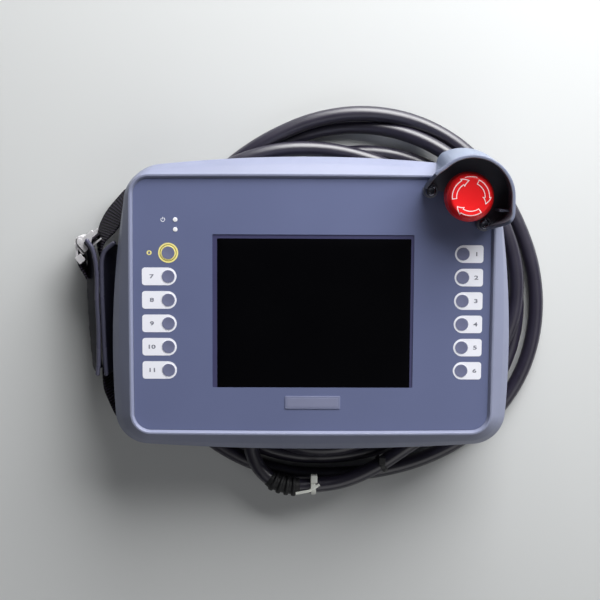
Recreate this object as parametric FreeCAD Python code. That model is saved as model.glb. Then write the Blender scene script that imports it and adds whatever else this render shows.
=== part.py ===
"""Handheld operator touch panel with emergency stop, hand strap and coiled cable.

The panel lies on its back. X runs to the right of the screen, Y towards its top edge and
Z out of the screen. Z = 0 is the flat back of the rear block. Millimetres.
"""
import FreeCAD, Part
import math
import os
from collections import namedtuple

Vec = FreeCAD.Vector
NEARLY = 0.001

# Bowed outline of a moulded level: side, top and bottom arcs joined by four corner arcs
Outline = namedtuple(
    "Outline",
    "half_width widest_y side_r top top_r bottom bottom_r top_corner bottom_corner",
)

# Housing
BODY = Outline(123.9, -29.0, 560.0, 91.4, 870.0, 91.9, 1600.0, 25.0, 21.0)
LIP = Outline(112.4, 0.0, 9000.0, 80.7, 9000.0, 80.7, 9000.0, 12.0, 13.0)
SHEET_Z = 54.0
SHEET_THICK = 0.5
LIP_HEIGHT = 2.0
LIP_EDGE = 0.8
LIP_WIDTH = 2.6
LIP_DRAFT = 0.7
BAND_DROP = 9.5
BAND_BULGE = 0.9
SKIRT_DROP = 4.0
SKIRT_INSET = 1.2
FRAME_WALL = 2.6
WEB_THICK = 2.5
GASKET_THICK = 1.0
GASKET_WIDTH = 1.4
TRAY_DEPTH = 6.0
TRAY_ROUND = 6.0
TRAY_TURN = 1.5
TRAY_TURN_DROP = 3.6
COVER_WALL = 2.4

# Rear block that holds the electronics and that the panel rests on
BLOCK_WIDTH = 116.0
BLOCK_HEIGHT = 96.0
BLOCK_CORNER = 8.0
BLOCK_EDGE = 4.0

# Display
WINDOW_WIDTH = 123.8
WINDOW_HEIGHT = 94.9
WINDOW_X = 0.6
WINDOW_Y = -3.65
WINDOW_CORNER = 0.8
GLASS_MARGIN = 4.0
GLASS_THICK = 1.8
MODULE_MARGIN = 8.0
MODULE_DEPTH = 9.0
MODULE_PLUG_HEIGHT = 3.0
SEAT_GAP = 0.2

# Keys and lamps on the front sheet
KEY_RADIUS = 4.15
KEY_GAP = 0.3
KEY_TRAVEL = 0.6
KEY_PROUD = 0.25
KEY_CROWN = 0.3
KEY_FLANGE = 1.0
KEY_FLANGE_THICK = 0.7
LEFT_KEY_X = -88.25
RIGHT_KEY_X = 92.6
TOP_KEY_Y = 32.3
KEY_PITCH = 14.5
KEY_ROWS = 6
DOME_RADIUS = 2.5
DOME_HEIGHT = 0.8
BOARD_THICK = 1.6
KEY_BOARD_WIDTH = 15.0
KEY_BOARD_MARGIN = 8.0
KEY_BOARD_CORNER = 1.0
LAMP_X = -83.9
LAMP_Y = 49.6
LAMP_PITCH = 6.0
LAMP_RADIUS = 1.4
LAMP_PROUD = 0.2

# Emergency stop switch
STOP_X = 92.9
STOP_Y = 68.0
STOP_RADIUS = 15.0
STOP_RIM_Z = 69.5
STOP_RIM_HEIGHT = 2.4
STOP_CROWN = 7.0
STOP_BOW_OUT = 0.7
STOP_BOW_UP = 0.62
STOP_FACE_RADIUS = 11.6
STOP_FACE_DISH = 0.7
STOP_SKIRT = 4.6
STOP_TRAVEL = 4.0
STOP_TURN_GAP = 0.05
SPINDLE_RADIUS = 4.0
SPINDLE_GRIP = 9.0
BARREL_RADIUS = 8.0
BARREL_GAP = 0.1
FLANGE_RADIUS = 9.6
FLANGE_HEIGHT = 3.5
FLANGE_EDGE = 1.0
NUT_RADIUS = 10.4
NUT_HEIGHT = 3.0
CONTACT_SIDE = 17.0
CONTACT_HEIGHT = 6.5
CONTACT_CORNER = 1.5

# Guard round the emergency stop
GUARD_TOP_Z = 88.0
GUARD_FOOT_Z = 43.5
GUARD_TOP_RADIUS = 25.3
GUARD_FLARE = 3.9
GUARD_WALL = 2.2
GUARD_START = 166.0
GUARD_STRAIGHT = 11.0
GUARD_CORNER = 7.0
GUARD_RETURN = 6.0
GUARD_BOSS_RADIUS = 4.4
GUARD_BOSS_HEIGHT = 6.0
GUARD_BOSS_ANGLE = 172.0
GUARD_BOSS_REACH = 21.8
GUARD_BOSS_LAP = 0.8
GUARD_RIB_WIDTH = 1.8
GUARD_RIB_HEIGHT = 20.0
GUARD_SCREW_HEAD = 3.2
GUARD_SCREW_HEAD_HEIGHT = 2.2
GUARD_SCREW_RADIUS = 1.7
GUARD_SCREW_ROUND = 1.0
HOOD_FLOOR_RISE = 1.0
HOOD_FLOOR_DROP = 10.0
HOOD_FLOOR_REACH = 13.4
SCREW_GAP = 0.1

# Cover screws and threaded inserts
COVER_SCREW_RADIUS = 1.5
COVER_SCREW_HEAD = 2.9
COVER_SCREW_HEAD_HEIGHT = 2.0
COVER_BOSS_RADIUS = 4.0
COVER_SCREW_SPOTS = ((-103, 54), (105, 30), (-68, -72), (104, -66), (0, 71), (20, -72))
INSERT_RADIUS = 2.8
INSERT_BORE = 1.65
INSERT_LENGTH = 8.0
INSERT_SPACING_X = 60.0
INSERT_SPACING_Y = 50.0
INSERT_BOSS_WALL = 2.4

# Main board in the rear block
BOARD_MARGIN = 4.0
BOARD_CORNER_CUT = 4.0
BOARD_Z = 27.5
POST_RADIUS = 3.5
POST_INSET = 10.0
BOARD_SCREW_RADIUS = 1.4
BOARD_SCREW_HEAD = 2.6
BOARD_SCREW_HEAD_HEIGHT = 1.6
BOARD_SCREW_LENGTH = 8.0
CHIP_CORNER = 0.5
PROCESSOR_SIDE = 18.0
PROCESSOR_HEIGHT = 2.5
SOCKET_LENGTH = 26.0
SOCKET_DEPTH = 9.0
SOCKET_HEIGHT = 6.0
CAPACITOR_RADIUS = 4.0
CAPACITOR_HEIGHT = 7.0
CAPACITOR_PITCH = 10.0
CHIP_LENGTH = 9.0
CHIP_WIDTH = 5.0
CHIP_HEIGHT = 1.5
CHIP_PITCH = 12.0
PARTS_X = -24.0
PARTS_Y = 26.0

# Enabling switch on the left wall of the rear block
LEVER_LENGTH = 54.0
LEVER_HEIGHT = 21.0
LEVER_THICK = 4.0
LEVER_CROWN = 2.0
LEVER_STAND_OFF = 5.0
LEVER_PIVOT_Z = 7.5
LEVER_PIVOT_RADIUS = 3.4
LEVER_PIN_RADIUS = 1.5
LEVER_PIN_GAP = 0.06
LEVER_SIDE_GAP = 0.5
LEVER_EAR_THICK = 4.0
PLUNGER_RADIUS = 2.2
PLUNGER_GAP = 0.3
PLUNGER_ARM = 13.0
PLUNGER_LENGTH = 10.0
ENABLE_SWITCH_DEPTH = 16.0
ENABLE_SWITCH_WIDTH = 22.0
ENABLE_SWITCH_HEIGHT = 12.0

# Hand strap on the left side
STRAP_WIDTH = 25.0
STRAP_THICK = 1.4
STRAP_LOW_Z = 6.5
STRAP_LINE_X = -130.6
STRAP_END = 4.0
STRAP_OVERRUN = 1.0
UPPER_BENDS = ((-113.0, 66.5), (-122.0, 57.5), (-128.5, 47.0))
LOWER_BENDS = ((-129.4, -58.0), (-124.5, -69.5), (-115.5, -76.0))
PAD_THICK = 7.4
PAD_TOP_Y = 40.0
PAD_BOTTOM_Y = -46.0
PAD_LOW_Z = 2.5
PAD_HIGH_Z = 36.0
PAD_EDGE = 3.0
PAD_GAP = 0.3
BRACKET_THICK = 2.0
BRACKET_LENGTH = 15.0
BRACKET_WIDTH = 13.0
BRACKET_SLOT = 3.4
BRACKET_FOOT_Z = 4.0
UPPER_BRACKET_X = -101.0
UPPER_BRACKET_Y = 66.5
LOWER_BRACKET_X = -106.0
LOWER_BRACKET_Y = -76.0
BRACKET_SCREW_RADIUS = 1.7
BRACKET_SCREW_HEAD = 3.0
BRACKET_SCREW_HEAD_HEIGHT = 1.8
BUCKLE_BASE = 1.2
BUCKLE_CHEEK = 1.5
BUCKLE_LENGTH = 14.0
BUCKLE_Y = 37.5
BUCKLE_REACH = 11.0
BUCKLE_SIDE_GAP = 0.6
CAM_RADIUS = 3.4
CAM_PIN_RADIUS = 1.25
CAM_PIN_GAP = 0.05
CAM_LEVER = 15.5
CAM_LEVER_THICK = 1.8
TAIL_END_Y = 14.0
TAIL_LEAN_X = 9.0
TAIL_LEAN_Y = 8.0
TAIL_TOP_GAP = 2.0

# Cable, its gland, its sleeve and its ties
CABLE_RADIUS = 4.8
BEND_SHARE = 0.45
GLAND_CORNER_GAP = 20.5
GLAND_Z = 17.0
GLAND_HEX = 12.0
GLAND_HEX_THICK = 5.0
GLAND_THREAD_RADIUS = 9.5
GLAND_NUT_RADIUS = 11.0
GLAND_NUT_LENGTH = 15.0
GLAND_SHOULDER = 8.25
GLAND_MOUTH_RADIUS = 7.4
GLAND_GAP = 0.2
GLAND_LOCKNUT = 4.0
COIL_X = 25.0
COIL_Y = -2.0
COIL_BAND = 28.0
COIL_CLEAR = 1.7
COIL_HEIGHT = 10.0
COIL_EDGE = 4.5
SLEEVE_RADIUS = 6.6
SLEEVE_RIB = 2.6
SLEEVE_RIB_PITCH = 4.4
SLEEVE_RIBS = 4
SLEEVE_CORE = 5.5
SLEEVE_INDEX = 4
TIE_WIDTH = 3.6
TIE_THICK = 1.2
WHITE_TIE_INDEX = 5
BLACK_TIE_INDEX = 7
TIE_HEAD = 5.0
PLUG_RADIUS = 11.0
PLUG_RING_RADIUS = 13.0
PLUG_RING_LENGTH = 14.0
PLUG_LENGTH = 50.0
PLUG_CLAMP_RADIUS = 8.0
PLUG_CLAMP_LENGTH = 12.0
PLUG_BORE = 8.5
PLUG_BORE_DEPTH = 9.0

# Levels that follow from the sizes above
LIP_Z = SHEET_Z + LIP_HEIGHT
WEB_TOP_Z = SHEET_Z - SHEET_THICK
WEB_LOW_Z = WEB_TOP_Z - WEB_THICK
WIDE_Z = SHEET_Z - BAND_DROP
FRAME_LOW_Z = WIDE_Z - SKIRT_DROP
COVER_TOP_Z = FRAME_LOW_Z - GASKET_THICK
TRAY_LOW_Z = COVER_TOP_Z - TRAY_DEPTH
KEY_FLANGE_TOP_Z = WEB_LOW_Z - KEY_GAP
KEY_LOW_Z = KEY_FLANGE_TOP_Z - KEY_FLANGE_THICK
KEY_BOARD_TOP_Z = KEY_LOW_Z - KEY_TRAVEL - KEY_GAP - DOME_HEIGHT
PAD_X = STRAP_LINE_X - STRAP_THICK / 2 - PAD_GAP
GLAND_X = GLAND_CORNER_GAP - BLOCK_WIDTH / 2
GLAND_END_Y = -BLOCK_HEIGHT / 2 - GLAND_HEX_THICK - GLAND_NUT_LENGTH
EAR_X = BLOCK_WIDTH / 2 + LEVER_STAND_OFF + LEVER_PIVOT_RADIUS
EAR_Y = LEVER_LENGTH / 2 + LEVER_SIDE_GAP + LEVER_EAR_THICK
COIL_INNER = math.hypot(COIL_X + EAR_X, EAR_Y - COIL_Y) + COIL_CLEAR
COIL_OUTER = COIL_INNER + COIL_BAND

# Routes of the cable: from the gland to the coil, and from the coil to the connector
LEAD_ROUTE = (
    (GLAND_X, GLAND_END_Y, GLAND_Z), (-39.5, -83.0, 17.4), (-38.5, -99.5, 17.8),
    (-31.0, -114.5, 17.8), (-17.0, -122.8, 17.6), (3.0, -122.6, 17.4), (24.0, -119.5, 17.4),
    (46.0, -108.8, 17.4), (62.0, -99.6, 16.4), (80.0, -90.5, 14.6), (98.5, -80.5, 9.4),
    (114.5, -65.0, 5.4),
)
TAIL_ROUTE = (
    (2.0, -101.5, 10.5), (24.0, -97.5, 14.4), (44.0, -89.5, 14.8), (62.0, -77.5, 14.4),
    (74.5, -62.0, 13.4), (80.0, -44.0, 13.0), (80.0, -27.0, 13.0),
)


def inset(outline, distance):
    """The outline moved inwards by a distance all round."""
    return Outline(
        outline.half_width - distance, outline.widest_y, outline.side_r - distance,
        outline.top - distance, outline.top_r - distance,
        outline.bottom - distance, outline.bottom_r - distance,
        outline.top_corner - distance, outline.bottom_corner - distance,
    )


def between(low, high, share):
    """An outline part of the way from one to another, with curvatures mixed for the big arcs."""
    def mix(a, b):
        return a + (b - a) * share

    def mix_radius(a, b):
        return 1.0 / mix(1.0 / a, 1.0 / b)

    return Outline(
        mix(low.half_width, high.half_width), mix(low.widest_y, high.widest_y),
        mix_radius(low.side_r, high.side_r), mix(low.top, high.top),
        mix_radius(low.top_r, high.top_r), mix(low.bottom, high.bottom),
        mix_radius(low.bottom_r, high.bottom_r), mix(low.top_corner, high.top_corner),
        mix(low.bottom_corner, high.bottom_corner),
    )


def corner_centre(side_centre, side_r, end_centre, end_r, corner, up):
    """Centre of the corner circle that touches a side arc and a top or bottom arc from inside."""
    gap = end_centre - side_centre
    distance = gap.Length
    near = side_r - corner
    far = end_r - corner
    along = (near ** 2 - far ** 2 + distance ** 2) / (2 * distance)
    across = math.sqrt(near ** 2 - along ** 2)
    direction = gap / distance
    normal = Vec(-direction.y, direction.x, 0)
    first = side_centre + direction * along + normal * across
    second = side_centre + direction * along - normal * across
    return first if (first.y > second.y) == up else second


def arc_about(centre, start, end):
    """The shorter arc from start to end about a centre."""
    radius = (start - centre).Length
    middle = (start - centre) + (end - centre)
    return Part.Arc(start, centre + middle * (radius / middle.Length), end).toShape()


def outline_wire(outline, z):
    """Closed wire of an outline at a height, anticlockwise from the right side."""
    side = Vec(outline.half_width - outline.side_r, outline.widest_y, 0)
    top = Vec(0, outline.top - outline.top_r, 0)
    bottom = Vec(0, outline.bottom_r - outline.bottom, 0)

    def touch(centre, radius, corner):
        step = corner - centre
        return centre + step * (radius / step.Length)

    def flip(point):
        return Vec(-point.x, point.y, 0)

    high = corner_centre(side, outline.side_r, top, outline.top_r, outline.top_corner, True)
    low = corner_centre(side, outline.side_r, bottom, outline.bottom_r, outline.bottom_corner, False)
    side_high = touch(side, outline.side_r, high)
    side_low = touch(side, outline.side_r, low)
    top_right = touch(top, outline.top_r, high)
    bottom_right = touch(bottom, outline.bottom_r, low)
    edges = [
        arc_about(side, side_low, side_high),
        arc_about(high, side_high, top_right),
        arc_about(top, top_right, flip(top_right)),
        arc_about(flip(high), flip(top_right), flip(side_high)),
        arc_about(flip(side), flip(side_high), flip(side_low)),
        arc_about(flip(low), flip(side_low), flip(bottom_right)),
        arc_about(bottom, flip(bottom_right), bottom_right),
        arc_about(low, bottom_right, side_low),
    ]
    wire = Part.Wire(edges)
    wire.translate(Vec(0, 0, z))
    return wire


def stack(*levels):
    """Solid through outlines at rising heights, given as (outline, z) pairs."""
    return Part.makeLoft([outline_wire(outline, z) for outline, z in levels], True, True)


def slab(width, height, corner, low, high, x=0.0, y=0.0):
    """Upright block with rounded corners, centred on x, y."""
    block = Part.makeBox(width, height, high - low, Vec(x - width / 2, y - height / 2, low))
    upright = [e for e in block.Edges if abs(e.tangentAt(e.FirstParameter).z) > 0.9]
    return block.makeFillet(corner, upright)


def post(radius, low, high, x=0.0, y=0.0):
    """Upright cylinder."""
    return Part.makeCylinder(radius, high - low, Vec(x, y, low))


def ring(outer, inner, low, high, x=0.0, y=0.0):
    """Upright tube."""
    return post(outer, low, high, x, y).cut(post(inner, low, high, x, y))


def hexagon(across_corners, low, high, x=0.0, y=0.0):
    """Upright six-sided prism, sized by the radius of its corners."""
    points = [
        Vec(x + across_corners * math.cos(math.radians(60 * i)),
            y + across_corners * math.sin(math.radians(60 * i)), low)
        for i in range(7)
    ]
    return Part.Face(Part.makePolygon(points)).extrude(Vec(0, 0, high - low))


def crown_arc(radius, edge_z, middle_z):
    """Arc in the XZ plane from a rim to the Z axis, about a centre on that axis."""
    rise = middle_z - edge_z
    sphere = (radius ** 2 + rise ** 2) / (2 * rise)
    centre_z = middle_z - sphere
    half = radius / 2
    height = math.copysign(math.sqrt(sphere ** 2 - half ** 2), sphere)
    return Part.Arc(Vec(radius, 0, edge_z), Vec(half, 0, centre_z + height), Vec(0, 0, middle_z))


def turned(profile):
    """Solid of a closed (radius, height) profile turned about the Z axis."""
    points = [Vec(radius, 0, height) for radius, height in profile]
    face = Part.Face(Part.makePolygon(points + points[:1]))
    return face.revolve(Vec(0, 0, 0), Vec(0, 0, 1), 360)


def merged(first, *others):
    """Solids fused to one, with the seams between faces removed."""
    return first.multiFuse(list(others)).removeSplitter()


def key_spots():
    """Key names and places: the operation key and keys down the left, then down the right."""
    spots = []
    for row in range(KEY_ROWS):
        name = "operation_key" if row == 0 else "key_%02d" % (KEY_ROWS + row)
        spots.append((name, LEFT_KEY_X, TOP_KEY_Y - row * KEY_PITCH))
    for row in range(KEY_ROWS):
        spots.append(("key_%02d" % (row + 1), RIGHT_KEY_X, TOP_KEY_Y - row * KEY_PITCH))
    return spots


def lamp_spots():
    return [(LAMP_X, LAMP_Y + LAMP_PITCH / 2), (LAMP_X, LAMP_Y - LAMP_PITCH / 2)]


def stop_foot_spots():
    """The two screw bosses of the guard: at the end of its arc and at the end of its return."""
    angle = math.radians(GUARD_BOSS_ANGLE)
    left = (STOP_X + GUARD_BOSS_REACH * math.cos(angle), STOP_Y + GUARD_BOSS_REACH * math.sin(angle))
    end = GUARD_RETURN + GUARD_BOSS_LAP - GUARD_BOSS_RADIUS
    low = (STOP_X + end, STOP_Y - GUARD_STRAIGHT - GUARD_CORNER)
    return [left, low]


def frame_envelope():
    """Outer form of the front frame: a lip round the sheet, a bulged band and a short skirt."""
    band = inset(between(BODY, LIP, 0.5), -BAND_BULGE)
    return stack(
        (inset(BODY, SKIRT_INSET), FRAME_LOW_Z),
        (BODY, WIDE_Z),
        (band, (WIDE_Z + LIP_Z) / 2),
        (LIP, LIP_Z - LIP_EDGE),
        (inset(LIP, LIP_EDGE), LIP_Z),
    )


def sheet_recess():
    """Space inside the lip, open to the front."""
    floor = inset(LIP, LIP_WIDTH)
    mouth = inset(LIP, LIP_WIDTH - LIP_DRAFT)
    return stack((floor, WEB_TOP_Z), (mouth, LIP_Z + SEAT_GAP))


def front_openings(low, high):
    """Holes through the front for the keys, the lamps and the emergency stop."""
    holes = [post(KEY_RADIUS + KEY_GAP, low, high, x, y) for _, x, y in key_spots()]
    holes += [post(LAMP_RADIUS, low, high, x, y) for x, y in lamp_spots()]
    holes.append(post(BARREL_RADIUS + BARREL_GAP, low, high, STOP_X, STOP_Y))
    holes += [post(GUARD_SCREW_RADIUS, low, high, x, y) for x, y in stop_foot_spots()]
    return holes


def front_bezel():
    wall = SKIRT_INSET + FRAME_WALL
    pocket = stack(
        (inset(BODY, wall), FRAME_LOW_Z),
        (inset(BODY, FRAME_WALL), WIDE_Z),
        (inset(LIP, LIP_EDGE), WEB_LOW_Z),
    )
    glass_width = WINDOW_WIDTH + 2 * GLASS_MARGIN + 2 * SEAT_GAP
    glass_height = WINDOW_HEIGHT + 2 * GLASS_MARGIN + 2 * SEAT_GAP
    opening = slab(glass_width, glass_height, WINDOW_CORNER, WEB_LOW_Z, SHEET_Z, WINDOW_X, WINDOW_Y)
    frame = frame_envelope().cut(pocket)
    bosses = [post(COVER_BOSS_RADIUS, FRAME_LOW_Z, WEB_LOW_Z, x, y) for x, y in COVER_SCREW_SPOTS]
    frame = merged(frame, *bosses)
    taps = [post(COVER_SCREW_RADIUS, FRAME_LOW_Z, WEB_LOW_Z, x, y) for x, y in COVER_SCREW_SPOTS]
    cuts = [sheet_recess(), opening] + front_openings(WEB_LOW_Z, LIP_Z) + taps
    return frame.cut(cuts)


def front_sheet():
    outline = inset(LIP, LIP_WIDTH)
    sheet = outline_wire(outline, WEB_TOP_Z)
    sheet = Part.Face(sheet).extrude(Vec(0, 0, SHEET_THICK))
    window = slab(WINDOW_WIDTH, WINDOW_HEIGHT, WINDOW_CORNER, WEB_TOP_Z, SHEET_Z, WINDOW_X, WINDOW_Y)
    return sheet.cut([window] + front_openings(WEB_TOP_Z, SHEET_Z))


def touch_glass():
    width = WINDOW_WIDTH + 2 * GLASS_MARGIN
    height = WINDOW_HEIGHT + 2 * GLASS_MARGIN
    return slab(width, height, WINDOW_CORNER, WEB_TOP_Z - GLASS_THICK, WEB_TOP_Z, WINDOW_X, WINDOW_Y)


def display_module():
    """Flat display with a connector block on its back."""
    width = WINDOW_WIDTH + 2 * MODULE_MARGIN
    height = WINDOW_HEIGHT + 2 * MODULE_MARGIN
    top = WEB_LOW_Z
    low = top - MODULE_DEPTH
    panel = slab(width, height, WINDOW_CORNER, low, top, WINDOW_X, WINDOW_Y)
    connector = slab(width / 4, height / 8, WINDOW_CORNER, low - MODULE_PLUG_HEIGHT, low,
                     WINDOW_X, WINDOW_Y)
    return merged(panel, connector)


def key_board():
    """Two narrow circuit boards with a snap dome under each key."""
    length = (KEY_ROWS - 1) * KEY_PITCH + 2 * KEY_BOARD_MARGIN
    middle = TOP_KEY_Y - (KEY_ROWS - 1) * KEY_PITCH / 2
    low = KEY_BOARD_TOP_Z - BOARD_THICK
    boards = []
    for x in (LEFT_KEY_X, RIGHT_KEY_X):
        board = slab(KEY_BOARD_WIDTH, length, KEY_BOARD_CORNER, low, KEY_BOARD_TOP_Z, x, middle)
        domes = [
            post(DOME_RADIUS, KEY_BOARD_TOP_Z, KEY_BOARD_TOP_Z + DOME_HEIGHT, key_x, y)
            for _, key_x, y in key_spots() if key_x == x
        ]
        boards.append(merged(board, *domes))
    return Part.makeCompound(boards)


def key_cap(x, y):
    """Round cap with a crowned top and a flange that keeps it behind the front."""
    shoulder = SHEET_Z + KEY_PROUD - KEY_CROWN
    top = SHEET_Z + KEY_PROUD
    flange = KEY_RADIUS + KEY_FLANGE
    edges = [
        Part.LineSegment(Vec(0, 0, KEY_LOW_Z), Vec(flange, 0, KEY_LOW_Z)),
        Part.LineSegment(Vec(flange, 0, KEY_LOW_Z), Vec(flange, 0, KEY_FLANGE_TOP_Z)),
        Part.LineSegment(Vec(flange, 0, KEY_FLANGE_TOP_Z), Vec(KEY_RADIUS, 0, KEY_FLANGE_TOP_Z)),
        Part.LineSegment(Vec(KEY_RADIUS, 0, KEY_FLANGE_TOP_Z), Vec(KEY_RADIUS, 0, shoulder)),
        crown_arc(KEY_RADIUS, shoulder, top),
        Part.LineSegment(Vec(0, 0, top), Vec(0, 0, KEY_LOW_Z)),
    ]
    face = Part.Face(Part.Wire([edge.toShape() for edge in edges]))
    cap = face.revolve(Vec(0, 0, 0), Vec(0, 0, 1), 360)
    cap.translate(Vec(x, y, 0))
    return cap


def status_lamps():
    """Two light pipes with a seat flange behind the front."""
    lamps = []
    for x, y in lamp_spots():
        pipe = post(LAMP_RADIUS, WEB_LOW_Z, SHEET_Z + LAMP_PROUD, x, y)
        seat = post(LAMP_RADIUS + KEY_FLANGE, WEB_LOW_Z - KEY_FLANGE, WEB_LOW_Z, x, y)
        lamps.append(merged(pipe, seat))
    return Part.makeCompound(lamps)


def housing_gasket():
    """Seal between the front frame and the rear cover."""
    outer = inset(BODY, SKIRT_INSET + GASKET_WIDTH / 2)
    inner = inset(BODY, SKIRT_INSET + GASKET_WIDTH / 2 + GASKET_WIDTH)
    low = COVER_TOP_Z
    return stack((outer, low), (outer, FRAME_LOW_Z)).cut(stack((inner, low), (inner, FRAME_LOW_Z)))


def block_form(shrink, low, high):
    """Rear block, or the hollow inside it when shrunk by the wall."""
    return slab(BLOCK_WIDTH - 2 * shrink, BLOCK_HEIGHT - 2 * shrink, BLOCK_CORNER - shrink, low, high)


def lever_pivot():
    """Place of the enabling lever's pin beside the left wall of the rear block."""
    return Vec(-BLOCK_WIDTH / 2 - LEVER_STAND_OFF, 0, LEVER_PIVOT_Z)


def insert_spots():
    return [(sx * INSERT_SPACING_X / 2, sy * INSERT_SPACING_Y / 2) for sx in (-1, 1) for sy in (-1, 1)]


def board_post_spots():
    x = BLOCK_WIDTH / 2 - POST_INSET
    y = BLOCK_HEIGHT / 2 - POST_INSET
    return [(sx * x, sy * y) for sx in (-1, 1) for sy in (-1, 1)]


def bracket_screw_spots():
    """One screw for each strap bracket, on the middle of its plate."""
    reach = BRACKET_LENGTH / 2 + BRACKET_THICK
    return [
        (UPPER_BRACKET_X + reach, UPPER_BRACKET_Y),
        (LOWER_BRACKET_X + reach, LOWER_BRACKET_Y),
    ]


def lever_ears():
    """Two ears on the block's wall that hold the lever's pin."""
    pivot = lever_pivot()
    ears = []
    for side in (-1, 1):
        middle = side * (LEVER_LENGTH / 2 + LEVER_SIDE_GAP + LEVER_EAR_THICK / 2)
        start = Vec(pivot.x, middle - LEVER_EAR_THICK / 2, pivot.z)
        round_end = Part.makeCylinder(LEVER_PIVOT_RADIUS, LEVER_EAR_THICK, start, Vec(0, 1, 0))
        arm = Part.makeBox(
            LEVER_STAND_OFF + COVER_WALL, LEVER_EAR_THICK, 2 * LEVER_PIVOT_RADIUS,
            Vec(pivot.x, middle - LEVER_EAR_THICK / 2, pivot.z - LEVER_PIVOT_RADIUS))
        ears.append(merged(round_end, arm))
    return ears


def lever_pin():
    length = LEVER_LENGTH + 2 * LEVER_SIDE_GAP + 2 * LEVER_EAR_THICK
    pivot = lever_pivot()
    return Part.makeCylinder(LEVER_PIN_RADIUS, length, Vec(pivot.x, -length / 2, pivot.z), Vec(0, 1, 0))


def rear_cover():
    """Shallow tray behind the frame, open where the rear block is welded on."""
    rim = inset(BODY, SKIRT_INSET)
    turn = inset(BODY, SKIRT_INSET + TRAY_TURN)
    flat = inset(BODY, SKIRT_INSET + TRAY_ROUND)
    middle_z = COVER_TOP_Z - TRAY_TURN_DROP
    tray = stack((flat, TRAY_LOW_Z), (turn, middle_z), (rim, COVER_TOP_Z))
    floor = TRAY_LOW_Z + COVER_WALL
    hollow = stack((inset(flat, COVER_WALL), floor), (inset(rim, COVER_WALL), COVER_TOP_Z))
    cuts = [hollow, block_form(COVER_WALL, TRAY_LOW_Z, floor)]
    for x, y in COVER_SCREW_SPOTS:
        cuts.append(post(COVER_SCREW_RADIUS + SCREW_GAP, TRAY_LOW_Z, COVER_TOP_Z, x, y))
    cuts += [post(BRACKET_SCREW_RADIUS, TRAY_LOW_Z, COVER_TOP_Z, x, y) for x, y in bracket_screw_spots()]
    return tray.cut(cuts)


def rear_block():
    """Deep box below the tray that holds the electronics, with its bosses, posts and lever ears."""
    block = block_form(0.0, 0.0, TRAY_LOW_Z)
    lowest = [e for e in block.Edges if e.BoundBox.ZMax < NEARLY]
    block = merged(block.makeFillet(BLOCK_EDGE, lowest), *lever_ears())
    floor = COVER_WALL
    block = block.cut(block_form(COVER_WALL, floor, TRAY_LOW_Z))
    bosses = [post(INSERT_RADIUS + INSERT_BOSS_WALL, floor, INSERT_LENGTH + floor, x, y)
              for x, y in insert_spots()]
    bosses += [post(POST_RADIUS, floor, BOARD_Z, x, y) for x, y in board_post_spots()]
    block = merged(block, *bosses)
    cuts = [post(INSERT_RADIUS, 0.0, INSERT_LENGTH, x, y) for x, y in insert_spots()]
    cuts += [post(BOARD_SCREW_RADIUS, floor, BOARD_Z, x, y) for x, y in board_post_spots()]
    cuts.append(Part.makeCylinder(
        GLAND_THREAD_RADIUS, COVER_WALL, Vec(GLAND_X, -BLOCK_HEIGHT / 2, GLAND_Z), Vec(0, 1, 0)))
    cuts.append(Part.makeCylinder(
        PLUNGER_RADIUS + PLUNGER_GAP, COVER_WALL,
        Vec(-BLOCK_WIDTH / 2, 0, LEVER_PIVOT_Z + PLUNGER_ARM), Vec(1, 0, 0)))
    cuts.append(lever_pin())
    return block.cut(cuts)


def cover_screws():
    """Pan-head screws that hold the rear cover to the front frame."""
    screws = []
    for x, y in COVER_SCREW_SPOTS:
        head = post(COVER_SCREW_HEAD, TRAY_LOW_Z - COVER_SCREW_HEAD_HEIGHT, TRAY_LOW_Z, x, y)
        shank = post(COVER_SCREW_RADIUS, TRAY_LOW_Z, WEB_LOW_Z - COVER_WALL, x, y)
        screws.append(merged(head, shank))
    return Part.makeCompound(screws)


def threaded_inserts():
    """Brass inserts in the back, for a wall bracket."""
    return Part.makeCompound([
        ring(INSERT_RADIUS, INSERT_BORE, 0.0, INSERT_LENGTH, x, y) for x, y in insert_spots()])


def main_board():
    """Circuit board on four posts, with its processor, connectors and capacitors."""
    width = BLOCK_WIDTH - 2 * COVER_WALL - 2 * BOARD_MARGIN
    height = BLOCK_HEIGHT - 2 * COVER_WALL - 2 * BOARD_MARGIN
    top = BOARD_Z + BOARD_THICK
    board = slab(width, height, BOARD_CORNER_CUT, BOARD_Z, top)
    parts = [slab(PROCESSOR_SIDE, PROCESSOR_SIDE, CHIP_CORNER, top, top + PROCESSOR_HEIGHT)]
    parts.append(slab(SOCKET_LENGTH, SOCKET_DEPTH, CHIP_CORNER, top, top + SOCKET_HEIGHT,
                      SOCKET_LENGTH / 2, -PARTS_Y))
    parts += [post(CAPACITOR_RADIUS, top, top + CAPACITOR_HEIGHT, PARTS_X + CAPACITOR_PITCH * i, -PARTS_Y)
              for i in range(2)]
    parts += [slab(CHIP_LENGTH, CHIP_WIDTH, CHIP_CORNER, top, top + CHIP_HEIGHT,
                   PARTS_X + CHIP_PITCH * i, PARTS_Y) for i in range(4)]
    board = merged(board, *parts)
    holes = [post(BOARD_SCREW_RADIUS + SCREW_GAP, BOARD_Z, top, x, y) for x, y in board_post_spots()]
    return board.cut(holes)


def board_screws():
    screws = []
    top = BOARD_Z + BOARD_THICK
    for x, y in board_post_spots():
        head = post(BOARD_SCREW_HEAD, top, top + BOARD_SCREW_HEAD_HEIGHT, x, y)
        screws.append(merged(head, post(BOARD_SCREW_RADIUS, BOARD_Z - BOARD_SCREW_LENGTH, top, x, y)))
    return Part.makeCompound(screws)


def stop_axis(shape):
    shape.translate(Vec(STOP_X, STOP_Y, 0))
    return shape


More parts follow.
